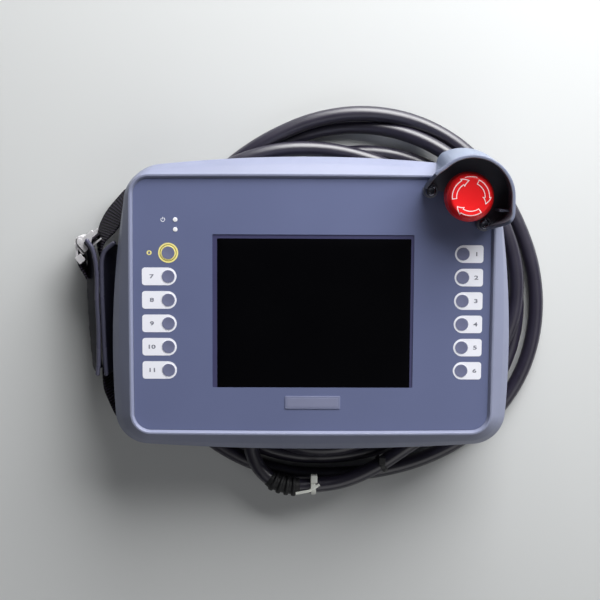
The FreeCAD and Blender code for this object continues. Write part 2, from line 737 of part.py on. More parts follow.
def stop_body():
    """Threaded barrel with a flange that seats on the front sheet."""
    bore = SPINDLE_RADIUS + STOP_TURN_GAP
    low = WEB_LOW_Z - NUT_HEIGHT - COVER_WALL
    top = SHEET_Z + FLANGE_HEIGHT
    return stop_axis(turned([
        (bore, low), (BARREL_RADIUS, low), (BARREL_RADIUS, SHEET_Z), (FLANGE_RADIUS, SHEET_Z),
        (FLANGE_RADIUS, top - FLANGE_EDGE), (FLANGE_RADIUS - FLANGE_EDGE, top), (bore, top)]))


def stop_nut():
    nut = hexagon(NUT_RADIUS, WEB_LOW_Z - NUT_HEIGHT, WEB_LOW_Z)
    return stop_axis(nut.cut(post(BARREL_RADIUS, WEB_LOW_Z - NUT_HEIGHT, WEB_LOW_Z)))


def stop_contact_block():
    top = WEB_LOW_Z - NUT_HEIGHT - COVER_WALL
    low = top - CONTACT_HEIGHT
    block = slab(CONTACT_SIDE, CONTACT_SIDE, CONTACT_CORNER, low, top)
    well = post(SPINDLE_RADIUS + KEY_GAP, top - STOP_TRAVEL - 2 * KEY_GAP, top)
    return stop_axis(block.cut(well))


def stop_spindle():
    low = WEB_LOW_Z - NUT_HEIGHT - COVER_WALL
    return stop_axis(post(SPINDLE_RADIUS, low, STOP_RIM_Z - STOP_SKIRT + SPINDLE_GRIP))


def stop_head():
    """Mushroom head: a rolled rim, a crowned shoulder and a shallow dish on top."""
    bore = SPINDLE_RADIUS + STOP_TURN_GAP
    low = STOP_RIM_Z - STOP_SKIRT
    seat = low + SPINDLE_GRIP + STOP_TURN_GAP
    rim_high = STOP_RIM_Z + STOP_RIM_HEIGHT
    top = rim_high + STOP_CROWN
    dish = top - STOP_FACE_DISH
    neck = SPINDLE_RADIUS + STOP_SKIRT
    bow = STOP_BOW_OUT * (STOP_RADIUS - STOP_FACE_RADIUS)
    edges = [
        Part.LineSegment(Vec(bore, 0, low), Vec(neck, 0, low)),
        Part.LineSegment(Vec(neck, 0, low), Vec(STOP_RADIUS, 0, STOP_RIM_Z)),
        Part.LineSegment(Vec(STOP_RADIUS, 0, STOP_RIM_Z), Vec(STOP_RADIUS, 0, rim_high)),
        Part.Arc(Vec(STOP_RADIUS, 0, rim_high),
                 Vec(STOP_FACE_RADIUS + bow, 0, rim_high + STOP_BOW_UP * STOP_CROWN),
                 Vec(STOP_FACE_RADIUS, 0, top)),
        crown_arc(STOP_FACE_RADIUS, top, dish),
        Part.LineSegment(Vec(0, 0, dish), Vec(0, 0, seat)),
        Part.LineSegment(Vec(0, 0, seat), Vec(bore, 0, seat)),
        Part.LineSegment(Vec(bore, 0, seat), Vec(bore, 0, low)),
    ]
    face = Part.Face(Part.Wire([edge.toShape() for edge in edges]))
    return stop_axis(face.revolve(Vec(0, 0, 0), Vec(0, 0, 1), 360))


def guard_section(radius, z):
    """Closed strip of the guard at a height: an arc, a straight side, a corner and a return."""
    inner = radius - GUARD_WALL
    start = math.radians(GUARD_START)
    drop = -GUARD_STRAIGHT
    foot = drop - GUARD_CORNER
    corner = Vec(radius - GUARD_CORNER, drop, z)
    inner_corner = GUARD_CORNER - GUARD_WALL

    def at(r, angle):
        return Vec(r * math.cos(angle), r * math.sin(angle), z)

    half = start / 2
    edges = [
        Part.Arc(at(radius, start), at(radius, half), at(radius, 0)).toShape(),
        Part.makeLine(at(radius, 0), Vec(radius, drop, z)),
        arc_about(corner, Vec(radius, drop, z), Vec(corner.x, foot, z)),
        Part.makeLine(Vec(corner.x, foot, z), Vec(GUARD_RETURN, foot, z)),
        Part.makeLine(Vec(GUARD_RETURN, foot, z), Vec(GUARD_RETURN, foot + GUARD_WALL, z)),
        Part.makeLine(Vec(GUARD_RETURN, foot + GUARD_WALL, z), Vec(corner.x, foot + GUARD_WALL, z)),
        arc_about(corner, Vec(corner.x, foot + GUARD_WALL, z), Vec(corner.x + inner_corner, drop, z)),
        Part.makeLine(Vec(inner, drop, z), at(inner, 0)),
        Part.Arc(at(inner, 0), at(inner, half), at(inner, start)).toShape(),
        Part.makeLine(at(inner, start), at(radius, start)),
    ]
    return Part.Wire(edges)


def stop_guard():
    """Flared open hood round the emergency stop, seated on the frame, with two screw bosses."""
    foot_radius = GUARD_TOP_RADIUS + GUARD_FLARE
    hood = Part.makeLoft(
        [guard_section(foot_radius, GUARD_FOOT_Z), guard_section(GUARD_TOP_RADIUS, GUARD_TOP_Z)],
        True, True)
    rib_start = GUARD_TOP_RADIUS - GUARD_CORNER
    rib = Part.makeBox(
        GUARD_CORNER - GUARD_WALL / 2, GUARD_RIB_WIDTH, SHEET_Z + GUARD_RIB_HEIGHT - FRAME_LOW_Z,
        Vec(rib_start, -GUARD_STRAIGHT, FRAME_LOW_Z))
    hood = stop_axis(merged(hood, rib))
    bosses = [post(GUARD_BOSS_RADIUS, SHEET_Z, SHEET_Z + GUARD_BOSS_HEIGHT, x, y)
              for x, y in stop_foot_spots()]
    seat = frame_envelope().cut(sheet_recess())
    sheet = stack((inset(LIP, LIP_WIDTH), FRAME_LOW_Z), (inset(LIP, LIP_WIDTH), SHEET_Z))
    guard = merged(hood, *bosses).cut([seat, sheet])
    guard = max(guard.Solids, key=lambda solid: solid.Volume)
    holes = [post(GUARD_SCREW_RADIUS + SCREW_GAP, SHEET_Z, SHEET_Z + GUARD_BOSS_HEIGHT, x, y)
             for x, y in stop_foot_spots()]
    return guard.cut(holes)


def hood_base():
    """Floor of the hood: a plate between the frame, the hood's wall and the collar of the stop."""
    high = LIP_Z + HOOD_FLOOR_RISE
    low = LIP_Z - HOOD_FLOOR_DROP
    slope = GUARD_FLARE / (GUARD_TOP_Z - GUARD_FOOT_Z)
    reach = GUARD_TOP_RADIUS + slope * (GUARD_TOP_Z - high) - GUARD_WALL / 2
    start = math.radians(GUARD_START)
    drop = -GUARD_STRAIGHT
    foot = drop - GUARD_CORNER + GUARD_WALL / 2
    corner = Vec(reach - GUARD_CORNER + GUARD_WALL / 2, drop, low)
    inner = HOOD_FLOOR_REACH * math.sqrt(0.5)
    first = Vec(reach * math.cos(start), reach * math.sin(start), low)
    middle = Vec(reach * math.cos(start / 2), reach * math.sin(start / 2), low)
    last = Vec(GUARD_RETURN, foot, low)
    hidden = Vec(-inner, -inner, low)
    edges = [
        Part.Arc(first, middle, Vec(reach, 0, low)).toShape(),
        Part.makeLine(Vec(reach, 0, low), Vec(reach, drop, low)),
        arc_about(corner, Vec(reach, drop, low), Vec(corner.x, foot, low)),
        Part.makeLine(Vec(corner.x, foot, low), last),
        Part.makeLine(last, hidden),
        Part.makeLine(hidden, first),
    ]
    plate = stop_axis(Part.Face(Part.Wire(edges)).extrude(Vec(0, 0, high - low)))
    seat = frame_envelope().cut(sheet_recess())
    sheet = stack((inset(LIP, LIP_WIDTH), FRAME_LOW_Z), (inset(LIP, LIP_WIDTH), SHEET_Z))
    collar = post(FLANGE_RADIUS + KEY_GAP, low, high, STOP_X, STOP_Y)
    bosses = [post(GUARD_BOSS_RADIUS, low, high, x, y) for x, y in stop_foot_spots()]
    plate = plate.cut([seat, sheet, collar, stop_guard()] + bosses)
    return max(plate.Solids, key=lambda solid: solid.Volume)


def guard_screws():
    screws = []
    top = SHEET_Z + GUARD_BOSS_HEIGHT
    for x, y in stop_foot_spots():
        head = post(GUARD_SCREW_HEAD, top, top + GUARD_SCREW_HEAD_HEIGHT, x, y)
        edge = [e for e in head.Edges if e.BoundBox.ZMin > top + NEARLY]
        head = head.makeFillet(GUARD_SCREW_ROUND, edge[:1])
        screws.append(merged(head, post(GUARD_SCREW_RADIUS, WEB_LOW_Z, top, x, y)))
    return Part.makeCompound(screws)


def enabling_lever():
    """Long press plate on the left of the block: a crowned bar hung on a pin along its lower edge."""
    pivot = lever_pivot()
    outer = pivot.x - LEVER_THICK / 2
    inner = pivot.x + LEVER_THICK / 2
    top = pivot.z + LEVER_HEIGHT
    start = -LEVER_LENGTH / 2
    crown = Vec(outer - LEVER_CROWN, start, (pivot.z + top) / 2)
    edges = [
        Part.Arc(Vec(outer, start, pivot.z), crown, Vec(outer, start, top)).toShape(),
        Part.makeLine(Vec(outer, start, top), Vec(inner, start, top)),
        Part.makeLine(Vec(inner, start, top), Vec(inner, start, pivot.z)),
        Part.makeLine(Vec(inner, start, pivot.z), Vec(outer, start, pivot.z)),
    ]
    plate = Part.Face(Part.Wire(edges)).extrude(Vec(0, LEVER_LENGTH, 0))
    eye = Part.makeCylinder(LEVER_PIVOT_RADIUS, LEVER_LENGTH, Vec(pivot.x, start, pivot.z), Vec(0, 1, 0))
    bore = Part.makeCylinder(
        LEVER_PIN_RADIUS + LEVER_PIN_GAP, LEVER_LENGTH, Vec(pivot.x, start, pivot.z), Vec(0, 1, 0))
    return merged(plate, eye).cut(bore)


def enabling_plunger():
    """Push rod from the lever through the wall to the switch."""
    start = lever_pivot().x + LEVER_THICK / 2 + PLUNGER_GAP
    return Part.makeCylinder(
        PLUNGER_RADIUS, PLUNGER_LENGTH, Vec(start, 0, LEVER_PIVOT_Z + PLUNGER_ARM), Vec(1, 0, 0))


def enabling_switch():
    """Three-position switch inside the block, with a well for the push rod."""
    start = -BLOCK_WIDTH / 2 + COVER_WALL
    middle = LEVER_PIVOT_Z + PLUNGER_ARM
    low = COVER_WALL
    case = Part.makeBox(
        ENABLE_SWITCH_DEPTH, ENABLE_SWITCH_WIDTH, middle - low,
        Vec(start, -ENABLE_SWITCH_WIDTH / 2, low))
    head = Part.makeCylinder(
        ENABLE_SWITCH_HEIGHT / 2, ENABLE_SWITCH_DEPTH, Vec(start, 0, middle), Vec(1, 0, 0))
    well = Part.makeCylinder(
        PLUNGER_RADIUS + PLUNGER_GAP, PLUNGER_LENGTH, Vec(start, 0, middle), Vec(1, 0, 0))
    return merged(case, head).cut(well)


def strap_bracket(x, y):
    """Bent steel bracket: a plate under the tray and a slotted tab that hangs from it."""
    top = TRAY_LOW_Z
    plate = Part.makeBox(
        BRACKET_LENGTH + BRACKET_THICK, BRACKET_WIDTH, BRACKET_THICK,
        Vec(x, y - BRACKET_WIDTH / 2, top - BRACKET_THICK))
    tab = Part.makeBox(
        BRACKET_THICK, BRACKET_WIDTH, top - BRACKET_FOOT_Z, Vec(x, y - BRACKET_WIDTH / 2, BRACKET_FOOT_Z))
    slot = Part.makeBox(
        BRACKET_THICK, BRACKET_SLOT, STRAP_WIDTH + 2 * BUCKLE_SIDE_GAP,
        Vec(x, y - BRACKET_SLOT / 2, STRAP_LOW_Z - BUCKLE_SIDE_GAP))
    hole = post(BRACKET_SCREW_RADIUS + SCREW_GAP, top - BRACKET_THICK, top,
                x + BRACKET_LENGTH / 2 + BRACKET_THICK, y)
    return merged(plate, tab).cut([slot, hole])


def bracket_screws():
    screws = []
    seat = TRAY_LOW_Z - BRACKET_THICK
    for x, y in bracket_screw_spots():
        head = post(BRACKET_SCREW_HEAD, seat - BRACKET_SCREW_HEAD_HEIGHT, seat, x, y)
        screws.append(merged(head, post(BRACKET_SCREW_RADIUS, seat, TRAY_LOW_Z + COVER_WALL, x, y)))
    return Part.makeCompound(screws)


def band(points, low, width, thick):
    """Flat webbing on edge along a plan path, its bends rounded."""
    corners = [Vec(x, y, low) for x, y in points]
    path = Part.makePolygon(corners)
    ribbon = path.makeOffset2D(thick / 2, join=0, fill=False, openResult=False)
    return Part.Face(ribbon).extrude(Vec(0, 0, width))


def strap_webbing():
    """Webbing from the upper bracket, through the pad, to the lower bracket."""
    line = STRAP_LINE_X
    points = [(UPPER_BRACKET_X + STRAP_END, UPPER_BRACKET_Y)]
    points += UPPER_BENDS
    points += [(line, PAD_TOP_Y + STRAP_OVERRUN), (line, PAD_BOTTOM_Y - STRAP_OVERRUN)]
    points += LOWER_BENDS
    points.append((LOWER_BRACKET_X + STRAP_END, LOWER_BRACKET_Y))
    return band(points, STRAP_LOW_Z, STRAP_WIDTH, STRAP_THICK)


def pad_leaf(x):
    """One leaf of the padded sleeve, its long edges rounded."""
    leaf = Part.makeBox(PAD_THICK, PAD_TOP_Y - PAD_BOTTOM_Y, PAD_HIGH_Z - PAD_LOW_Z,
                        Vec(x, PAD_BOTTOM_Y, PAD_LOW_Z))
    long_edges = [e for e in leaf.Edges if abs(e.tangentAt(e.FirstParameter).y) > 0.9]
    return leaf.makeFillet(PAD_EDGE, long_edges)


def strap_pad_outer():
    return pad_leaf(PAD_X - PAD_THICK)


def strap_pad_inner():
    return pad_leaf(STRAP_LINE_X + STRAP_THICK / 2 + PAD_GAP)


def buckle_face():
    """Outer face of the outer pad leaf, which the buckle lies on."""
    return PAD_X - PAD_THICK


def cam_pin_x():
    return buckle_face() - BUCKLE_BASE - STRAP_THICK - 2 * PAD_GAP - CAM_RADIUS


def buckle_frame():
    """Steel channel: a base on the pad and two cheeks that carry the cam's pin."""
    base_x = buckle_face() - BUCKLE_BASE
    low = STRAP_LOW_Z - BUCKLE_SIDE_GAP - BUCKLE_CHEEK
    high = STRAP_LOW_Z + STRAP_WIDTH + BUCKLE_SIDE_GAP
    start = BUCKLE_Y - BUCKLE_LENGTH / 2
    base = Part.makeBox(BUCKLE_BASE, BUCKLE_LENGTH, high + BUCKLE_CHEEK - low, Vec(base_x, start, low))
    cheeks = []
    for z in (low, high):
        cheek = Part.makeBox(BUCKLE_REACH, BUCKLE_LENGTH, BUCKLE_CHEEK,
                             Vec(buckle_face() - BUCKLE_REACH, start, z))
        corners = [e for e in cheek.Edges
                   if abs(e.tangentAt(e.FirstParameter).z) > 0.9 and e.BoundBox.XMax < base_x - NEARLY]
        cheeks.append(cheek.makeFillet(BUCKLE_CHEEK, corners))
    return merged(base, *cheeks).cut(cam_pin())


def cam_pin():
    low = STRAP_LOW_Z - BUCKLE_SIDE_GAP - BUCKLE_CHEEK
    high = STRAP_LOW_Z + STRAP_WIDTH + BUCKLE_SIDE_GAP + BUCKLE_CHEEK
    return post(CAM_PIN_RADIUS, low, high, cam_pin_x(), BUCKLE_Y)


def buckle_cam():
    """Cam lever that pinches the webbing against the base."""
    low = STRAP_LOW_Z
    high = STRAP_LOW_Z + STRAP_WIDTH
    x = cam_pin_x()
    barrel = post(CAM_RADIUS, low, high, x, BUCKLE_Y)
    plate = Part.makeBox(CAM_LEVER_THICK, CAM_LEVER, high - low,
                         Vec(x - CAM_RADIUS, BUCKLE_Y - CAM_LEVER, low))
    return merged(barrel, plate).cut(post(CAM_PIN_RADIUS + CAM_PIN_GAP, low, high, x, BUCKLE_Y))


def strap_tail():
    """Free end of the webbing: out of the buckle and down the outside of the pad."""
    line = buckle_face() - BUCKLE_BASE - STRAP_THICK / 2 - PAD_GAP
    top = BUCKLE_Y + BUCKLE_LENGTH / 2 + TAIL_TOP_GAP
    points = [(line + TAIL_LEAN_X, top + TAIL_LEAN_Y), (line, top), (line, TAIL_END_Y)]
    return band(points, STRAP_LOW_Z, STRAP_WIDTH, STRAP_THICK)


def along_y(shape, x, y, z, outwards):
    """Turn a shape made on the Z axis to lie along Y, towards -Y when outwards is true."""
    shape.rotate(Vec(0, 0, 0), Vec(1, 0, 0), 90 if outwards else -90)
    shape.translate(Vec(x, y, z))
    return shape


def gland_body():
    """Hexagon collar and hollow thread of the cable gland in the block's lower wall."""
    hole = CABLE_RADIUS + GLAND_GAP
    body = hexagon(GLAND_HEX, 0, GLAND_HEX_THICK)
    thread = post(GLAND_THREAD_RADIUS, -COVER_WALL - GLAND_LOCKNUT, 0)
    body = merged(body, thread).cut(post(hole, -COVER_WALL - GLAND_LOCKNUT, GLAND_HEX_THICK))
    return along_y(body, GLAND_X, -BLOCK_HEIGHT / 2, GLAND_Z, True)


def gland_nut():
    """Domed nut that squeezes the seal onto the cable."""
    hole = CABLE_RADIUS + GLAND_GAP
    start = GLAND_HEX_THICK
    end = start + GLAND_NUT_LENGTH
    shoulder = start + GLAND_SHOULDER
    nut = turned([
        (hole, start), (GLAND_NUT_RADIUS, start), (GLAND_NUT_RADIUS, shoulder),
        (GLAND_MOUTH_RADIUS, end), (hole, end)])
    return along_y(nut, GLAND_X, -BLOCK_HEIGHT / 2, GLAND_Z, True)


def gland_locknut():
    """Thin nut on the gland's thread inside the block."""
    low = -COVER_WALL - GLAND_LOCKNUT
    nut = hexagon(GLAND_HEX, low, -COVER_WALL).cut(post(GLAND_THREAD_RADIUS, low, -COVER_WALL))
    return along_y(nut, GLAND_X, -BLOCK_HEIGHT / 2, GLAND_Z, True)


def route_edges(points):
    """Straight runs joined by tangent arcs as large as the runs allow; returns edges and radii."""
    corners = [Vec(*p) for p in points]
    edges = []
    radii = []
    start = corners[0]
    for before, corner, after in zip(corners, corners[1:], corners[2:]):
        back = before - corner
        ahead = after - corner
        turn = math.pi - back.getAngle(ahead)
        reach = BEND_SHARE * min(back.Length, ahead.Length)
        radius = reach / math.tan(turn / 2)
        first = corner + back * (reach / back.Length)
        last = corner + ahead * (reach / ahead.Length)
        middle_way = back / back.Length + ahead / ahead.Length
        to_centre = math.hypot(radius, reach) - radius
        middle = corner + middle_way * (to_centre / middle_way.Length)
        edges.append(Part.LineSegment(start, first).toShape())
        edges.append(Part.Arc(first, middle, last).toShape())
        radii.append(radius)
        start = last
    edges.append(Part.LineSegment(start, corners[-1]).toShape())
    return edges, radii


def cable_tube(points):
    """Round cable along a route; prints its bend radii and its volume against section times length."""
    edges, radii = route_edges(points)
    path = Part.Wire(edges)
    first = edges[0]
    start = first.FirstParameter
    circle = Part.makeCircle(CABLE_RADIUS, first.valueAt(start), first.tangentAt(start))
    tube = path.makePipeShell([Part.Wire([circle])], True, False)
    expected = math.pi * CABLE_RADIUS ** 2 * path.Length
    print("radii", [round(r, 1) for r in radii], "volume ratio", round(tube.Volume / expected, 4))
    return tube


def cable_coil():
    """Outer form of the loose coil that lies round the rear block."""
    width = COIL_OUTER - COIL_INNER
    section = slab(width, COIL_HEIGHT, COIL_EDGE, 0, 1).Faces
    face = [f for f in section if f.normalAt(0, 0).z < -0.9][0]
    face.rotate(Vec(0, 0, 0), Vec(1, 0, 0), 90)
    face.translate(Vec((COIL_OUTER + COIL_INNER) / 2, 0, COIL_HEIGHT / 2))
    coil = face.revolve(Vec(0, 0, 0), Vec(0, 0, 1), 360)
    coil.translate(Vec(COIL_X, COIL_Y, 0))
    return coil


def on_lead(shape, index):
    """Set a shape made on the Z axis onto the lead at a point of its route, along the cable."""
    before = Vec(*LEAD_ROUTE[index - 1])
    point = Vec(*LEAD_ROUTE[index])
    after = Vec(*LEAD_ROUTE[index + 1])
    edges, _ = route_edges(LEAD_ROUTE)
    bend = edges[2 * index - 1]
    middle = bend.valueAt((bend.FirstParameter + bend.LastParameter) / 2)
    way = (after - point) / (after - point).Length + (point - before) / (point - before).Length
    shape.Placement = FreeCAD.Placement(middle, FreeCAD.Rotation(Vec(0, 0, 1), way))
    return shape


def ribbed_sleeve():
    """Ribbed strain-relief sleeve on the lead."""
    half = (SLEEVE_RIBS * SLEEVE_RIB_PITCH) / 2
    bore = CABLE_RADIUS + GLAND_GAP
    profile = [(bore, -half), (SLEEVE_CORE, -half)]
    for i in range(SLEEVE_RIBS):
        low = -half + (i + 0.5) * SLEEVE_RIB_PITCH - SLEEVE_RIB / 2
        profile += [(SLEEVE_CORE, low), (SLEEVE_RADIUS, low),
                    (SLEEVE_RADIUS, low + SLEEVE_RIB), (SLEEVE_CORE, low + SLEEVE_RIB)]
    profile += [(SLEEVE_CORE, half), (bore, half)]
    return on_lead(turned(profile), SLEEVE_INDEX)


def tie(index):
    """Nylon tie round the lead, with its square head."""
    bore = CABLE_RADIUS + GLAND_GAP
    hoop = ring(bore + TIE_THICK, bore, -TIE_WIDTH / 2, TIE_WIDTH / 2)
    head = Part.makeBox(TIE_HEAD, TIE_HEAD, TIE_HEAD, Vec(-bore - TIE_HEAD, -TIE_HEAD / 2, -TIE_HEAD / 2))
    return on_lead(merged(hoop, head), index)


def cable_plug():
    """Round connector on the far end: clamp, shell and coupling ring with an open socket."""
    shell_end = PLUG_CLAMP_LENGTH + PLUG_LENGTH - PLUG_RING_LENGTH
    end = PLUG_CLAMP_LENGTH + PLUG_LENGTH
    plug = turned([
        (0, 0), (PLUG_CLAMP_RADIUS, 0), (PLUG_CLAMP_RADIUS, PLUG_CLAMP_LENGTH),
        (PLUG_RADIUS, PLUG_CLAMP_LENGTH), (PLUG_RADIUS, shell_end), (PLUG_RING_RADIUS, shell_end),
        (PLUG_RING_RADIUS, end), (PLUG_BORE, end), (PLUG_BORE, end - PLUG_BORE_DEPTH),
        (0, end - PLUG_BORE_DEPTH)])
    x, y, z = TAIL_ROUTE[-1]
    return along_y(plug, x, y, z, False)


def save(name, shape):
    print(name, "solids", len(shape.Solids), "volume", round(shape.Volume, 1), shape.isValid())
    shape.exportStep("parts/%s.step" % name)


def main():
    os.makedirs("parts", exist_ok=True)
    save("front_bezel", front_bezel())
    save("front_sheet", front_sheet())
    save("touch_glass", touch_glass())
    save("display_module", display_module())
    save("key_board", key_board())
    for name, x, y in key_spots():
        save(name, key_cap(x, y))
    save("status_lamps", status_lamps())
    save("housing_gasket", housing_gasket())
    save("rear_cover", rear_cover())
    save("rear_block", rear_block())
    save("cover_screws", cover_screws())
    save("threaded_inserts", threaded_inserts())
    save("main_board", main_board())
    save("board_screws", board_screws())
    save("stop_body", stop_body())
    save("stop_nut", stop_nut())
    save("stop_contact_block", stop_contact_block())
    save("stop_spindle", stop_spindle())
    save("stop_head", stop_head())
    save("stop_guard", stop_guard())
    save("hood_base", hood_base())
    save("guard_screws", guard_screws())
    save("enabling_lever", enabling_lever())
    save("lever_pin", lever_pin())
    save("enabling_plunger", enabling_plunger())
    save("enabling_switch", enabling_switch())
    save("upper_strap_bracket", strap_bracket(UPPER_BRACKET_X, UPPER_BRACKET_Y))
    save("lower_strap_bracket", strap_bracket(LOWER_BRACKET_X, LOWER_BRACKET_Y))
    save("bracket_screws", bracket_screws())
    save("strap_webbing", strap_webbing())
    save("strap_pad_outer", strap_pad_outer())
    save("strap_pad_inner", strap_pad_inner())
    save("buckle_frame", buckle_frame())
    save("cam_pin", cam_pin())
    save("buckle_cam", buckle_cam())
    save("strap_tail", strap_tail())
    save("gland_body", gland_body())
    save("gland_nut", gland_nut())
    save("gland_locknut", gland_locknut())
    save("cable_lead", cable_tube(LEAD_ROUTE))
    save("cable_coil", cable_coil())
    save("cable_end", cable_tube(TAIL_ROUTE))
    save("ribbed_sleeve", ribbed_sleeve())
    save("white_tie", tie(WHITE_TIE_INDEX))
    save("black_tie", tie(BLACK_TIE_INDEX))
    save("cable_plug", cable_plug())


main()
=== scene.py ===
"""Looks of a handheld operator touch panel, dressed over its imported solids.

X runs to the right of the screen, Y towards its top edge and Z out of it. Sizes are in
millimetres and become metres where a mesh is made.
"""
import math
from collections import namedtuple

import bmesh
import bpy
import numpy as np
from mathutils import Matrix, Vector


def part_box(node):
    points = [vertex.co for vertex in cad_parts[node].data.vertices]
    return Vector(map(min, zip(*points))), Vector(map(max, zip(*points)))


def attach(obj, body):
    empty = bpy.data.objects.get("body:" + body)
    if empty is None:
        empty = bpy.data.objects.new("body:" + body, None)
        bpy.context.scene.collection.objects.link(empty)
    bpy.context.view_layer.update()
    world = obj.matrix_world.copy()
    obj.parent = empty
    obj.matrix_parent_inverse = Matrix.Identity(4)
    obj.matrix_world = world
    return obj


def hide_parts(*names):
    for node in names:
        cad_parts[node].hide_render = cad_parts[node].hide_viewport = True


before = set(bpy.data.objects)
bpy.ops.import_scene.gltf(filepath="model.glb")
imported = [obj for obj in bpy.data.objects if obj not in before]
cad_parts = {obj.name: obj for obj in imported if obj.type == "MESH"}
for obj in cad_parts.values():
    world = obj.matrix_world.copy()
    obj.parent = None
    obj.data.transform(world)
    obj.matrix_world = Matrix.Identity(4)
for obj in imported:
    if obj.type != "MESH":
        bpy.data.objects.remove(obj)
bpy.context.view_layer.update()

MM = 0.001


def node_box(name):
    """Lowest and highest corner of a solid, in millimetres."""
    low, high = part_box(name)
    return np.array(low) / MM, np.array(high) / MM


def node_middle(name):
    low, high = node_box(name)
    return (low + high) / 2


def node_span(name, axis=2):
    """Lowest and highest value of a solid along an axis, in millimetres."""
    low, high = node_box(name)
    return low[axis], high[axis]


# Housing, as in the solids: bowed outlines of the widest edge and of the lip round the sheet
Outline = namedtuple(
    "Outline",
    "half_width widest_y side_r top top_r bottom bottom_r top_corner bottom_corner",
)
BODY = Outline(123.9, -29.0, 560.0, 91.4, 870.0, 91.9, 1600.0, 25.0, 21.0)
LIP = Outline(112.4, 0.0, 9000.0, 80.7, 9000.0, 80.7, 9000.0, 12.0, 13.0)
BAND = 11.0
# The skirt at the seam stands a little inside the widest line
SKIRT = BAND - 1.2
SKIRT_WALL, TRAY_WALL, TRAY_ROUND = 2.6, 3.0, 6.0
# How far the seal's two faces stand inside the skirt
SEAL_OUTER, SEAL_INNER = 0.9, 2.3
LIP_WIDTH, LIP_SLOPE = 2.6, 1.4
SHEET_Z = node_span("front_sheet")[1]
FRAME_LOW_Z, LIP_Z = node_span("front_bezel")
WIDE_Z = SHEET_Z - 9.5
TRAY_LOW_Z, TRAY_TOP_Z = node_span("rear_cover")
TRAY_FLOOR = 2.0
BLOCK_WIDTH, BLOCK_HEIGHT, BLOCK_EDGE = 116.0, 96.0, 4.0

# Cable
CABLE_RADIUS = 4.8
LEAD_ROUTE = (
    (-37.5, -68.0, 17.0), (-39.5, -83.0, 17.4), (-38.5, -99.5, 17.8), (-31.0, -114.5, 17.8),
    (-17.0, -122.8, 17.6), (3.0, -122.6, 17.4), (24.0, -119.5, 17.4), (46.0, -108.8, 17.4),
    (60.0, -99.0, 16.6), (77.5, -88.0, 15.6), (96.5, -77.2, 13.4),
)
TAIL_ROUTE = (
    (6.0, -99.6, 12.6), (24.0, -97.5, 14.4), (44.0, -89.5, 14.8), (62.0, -77.5, 14.4),
    (74.5, -62.0, 13.4), (80.0, -44.0, 13.0), (80.0, -27.0, 13.0),
)
COIL_X, COIL_Y = 25.0, -2.0
COIL_FROM, COIL_TO, COIL_STEP = -35.0, 1330.0, 15.0
COIL_ENTRY = 112.0
# Radius of each turn at every 30 degrees, anticlockwise from the right
TURN_RADII = (
    (112.0, 106.6, 101.6, 96.4, 91.0, 100.5, 104.0, 99.5, 94.5, 91.5, 88.5, 87.0),
    (87.0, 85.5, 88.0, 94.3, 110.9, 128.0, 134.0, 134.5, 126.0, 114.5, 117.5, 125.6),
    (124.4, 120.8, 125.4, 122.0, 116.0, 118.5, 124.0, 121.0, 114.2, 102.0, 99.0, 99.0),
    (110.0, 111.8, 115.4, 114.0, 110.0, 111.6, 114.0, 111.0, 104.0, 97.5, 97.5, 97.5),
)
# Where a turn climbs over an earlier one: from angle, to angle, height
CLIMBS = (
    (430, 470, 10.0), (488, 512, 15.0), (805, 870, 8.0), (1066, 1138, 10.0), (1337, 1400, 8.4))
CLIMB_RAMP = 22.0
# Half the window, in degrees, over which the radius is evened out
COIL_EASE = 19

# View: measured from the picture's frame
PICTURE_SIDE = 600
FOCAL_PIXELS = 1290.3
SENSOR = 36.0
CAMERA_PLACE = (-22.545, 89.925, 842.562)
CAMERA_TILT = (-6.25, -1.09, 0.21)
# Floor in metres: half its side, and how far it lies below the part
FLOOR_REACH, FLOOR_GAP = 3.0, 0.0002


def srgb(red, green, blue):
    """Linear colour of an 8-bit display colour."""
    value = np.array([red, green, blue]) / 255.0
    linear = np.where(value <= 0.04045, value / 12.92, ((value + 0.055) / 1.055) ** 2.4)
    return (*linear.tolist(), 1.0)


# Surfaces

def lengths(grid, axis):
    """Mean length along one way of a grid, at each of its points."""
    steps = np.linalg.norm(np.diff(grid, axis=axis), axis=2).mean(axis=1 - axis)
    total = np.concatenate([[0.0], np.cumsum(steps)])
    return total[:, None] if axis == 0 else total[None, :]


def run_along(line):
    """Length run from the start of a line to each of its points."""
    return np.concatenate([[0.0], np.cumsum(np.linalg.norm(np.diff(line, axis=0), axis=1))])


def mixed(line, known, wanted):
    """Points of a line, known at some places along it, read at others."""
    return np.column_stack([np.interp(wanted, known, column) for column in line.T])


def at_run(line, place):
    """Points of a line at given lengths along it."""
    return mixed(line, run_along(line), place)


def evenly(line, step):
    """Points at even steps along a line."""
    length = run_along(line)[-1]
    return at_run(line, np.linspace(0, length, int(length / step) + 1))


def unit(vectors):
    """Vectors scaled to a length of one."""
    vectors = np.asarray(vectors, float)
    return vectors / np.linalg.norm(vectors, axis=-1, keepdims=True)


def stacked(rings):
    """Grid (around, level) of outlines in plan, each given with its height."""
    return np.stack([np.column_stack([flat, np.full(len(flat), z)]) for flat, z in rings], axis=1)


def loop(first, second, low, high):
    """Closed four-cornered section: one value or outline at both heights, then the other, and back."""
    return [(first, low), (first, high), (second, high), (second, low), (first, low)]


def closed(parts):
    """Runs of points joined to one line, its first point repeated at the end."""
    line = np.concatenate(parts)
    return np.concatenate([line, line[:1]])


def ways(angle):
    """Unit directions in plan at angles in radians."""
    return np.stack([np.cos(angle), np.sin(angle)], axis=-1)


def circle(count):
    """Points round a unit circle, the first one repeated at the end."""
    return ways(np.linspace(0, 2 * np.pi, count + 1))


def swept(line, section, side, up):
    """Section points carried along a line, laid out on a side and an up vector at each of its points."""
    return line + section[:, None, :1] * side + section[:, None, 1:] * up


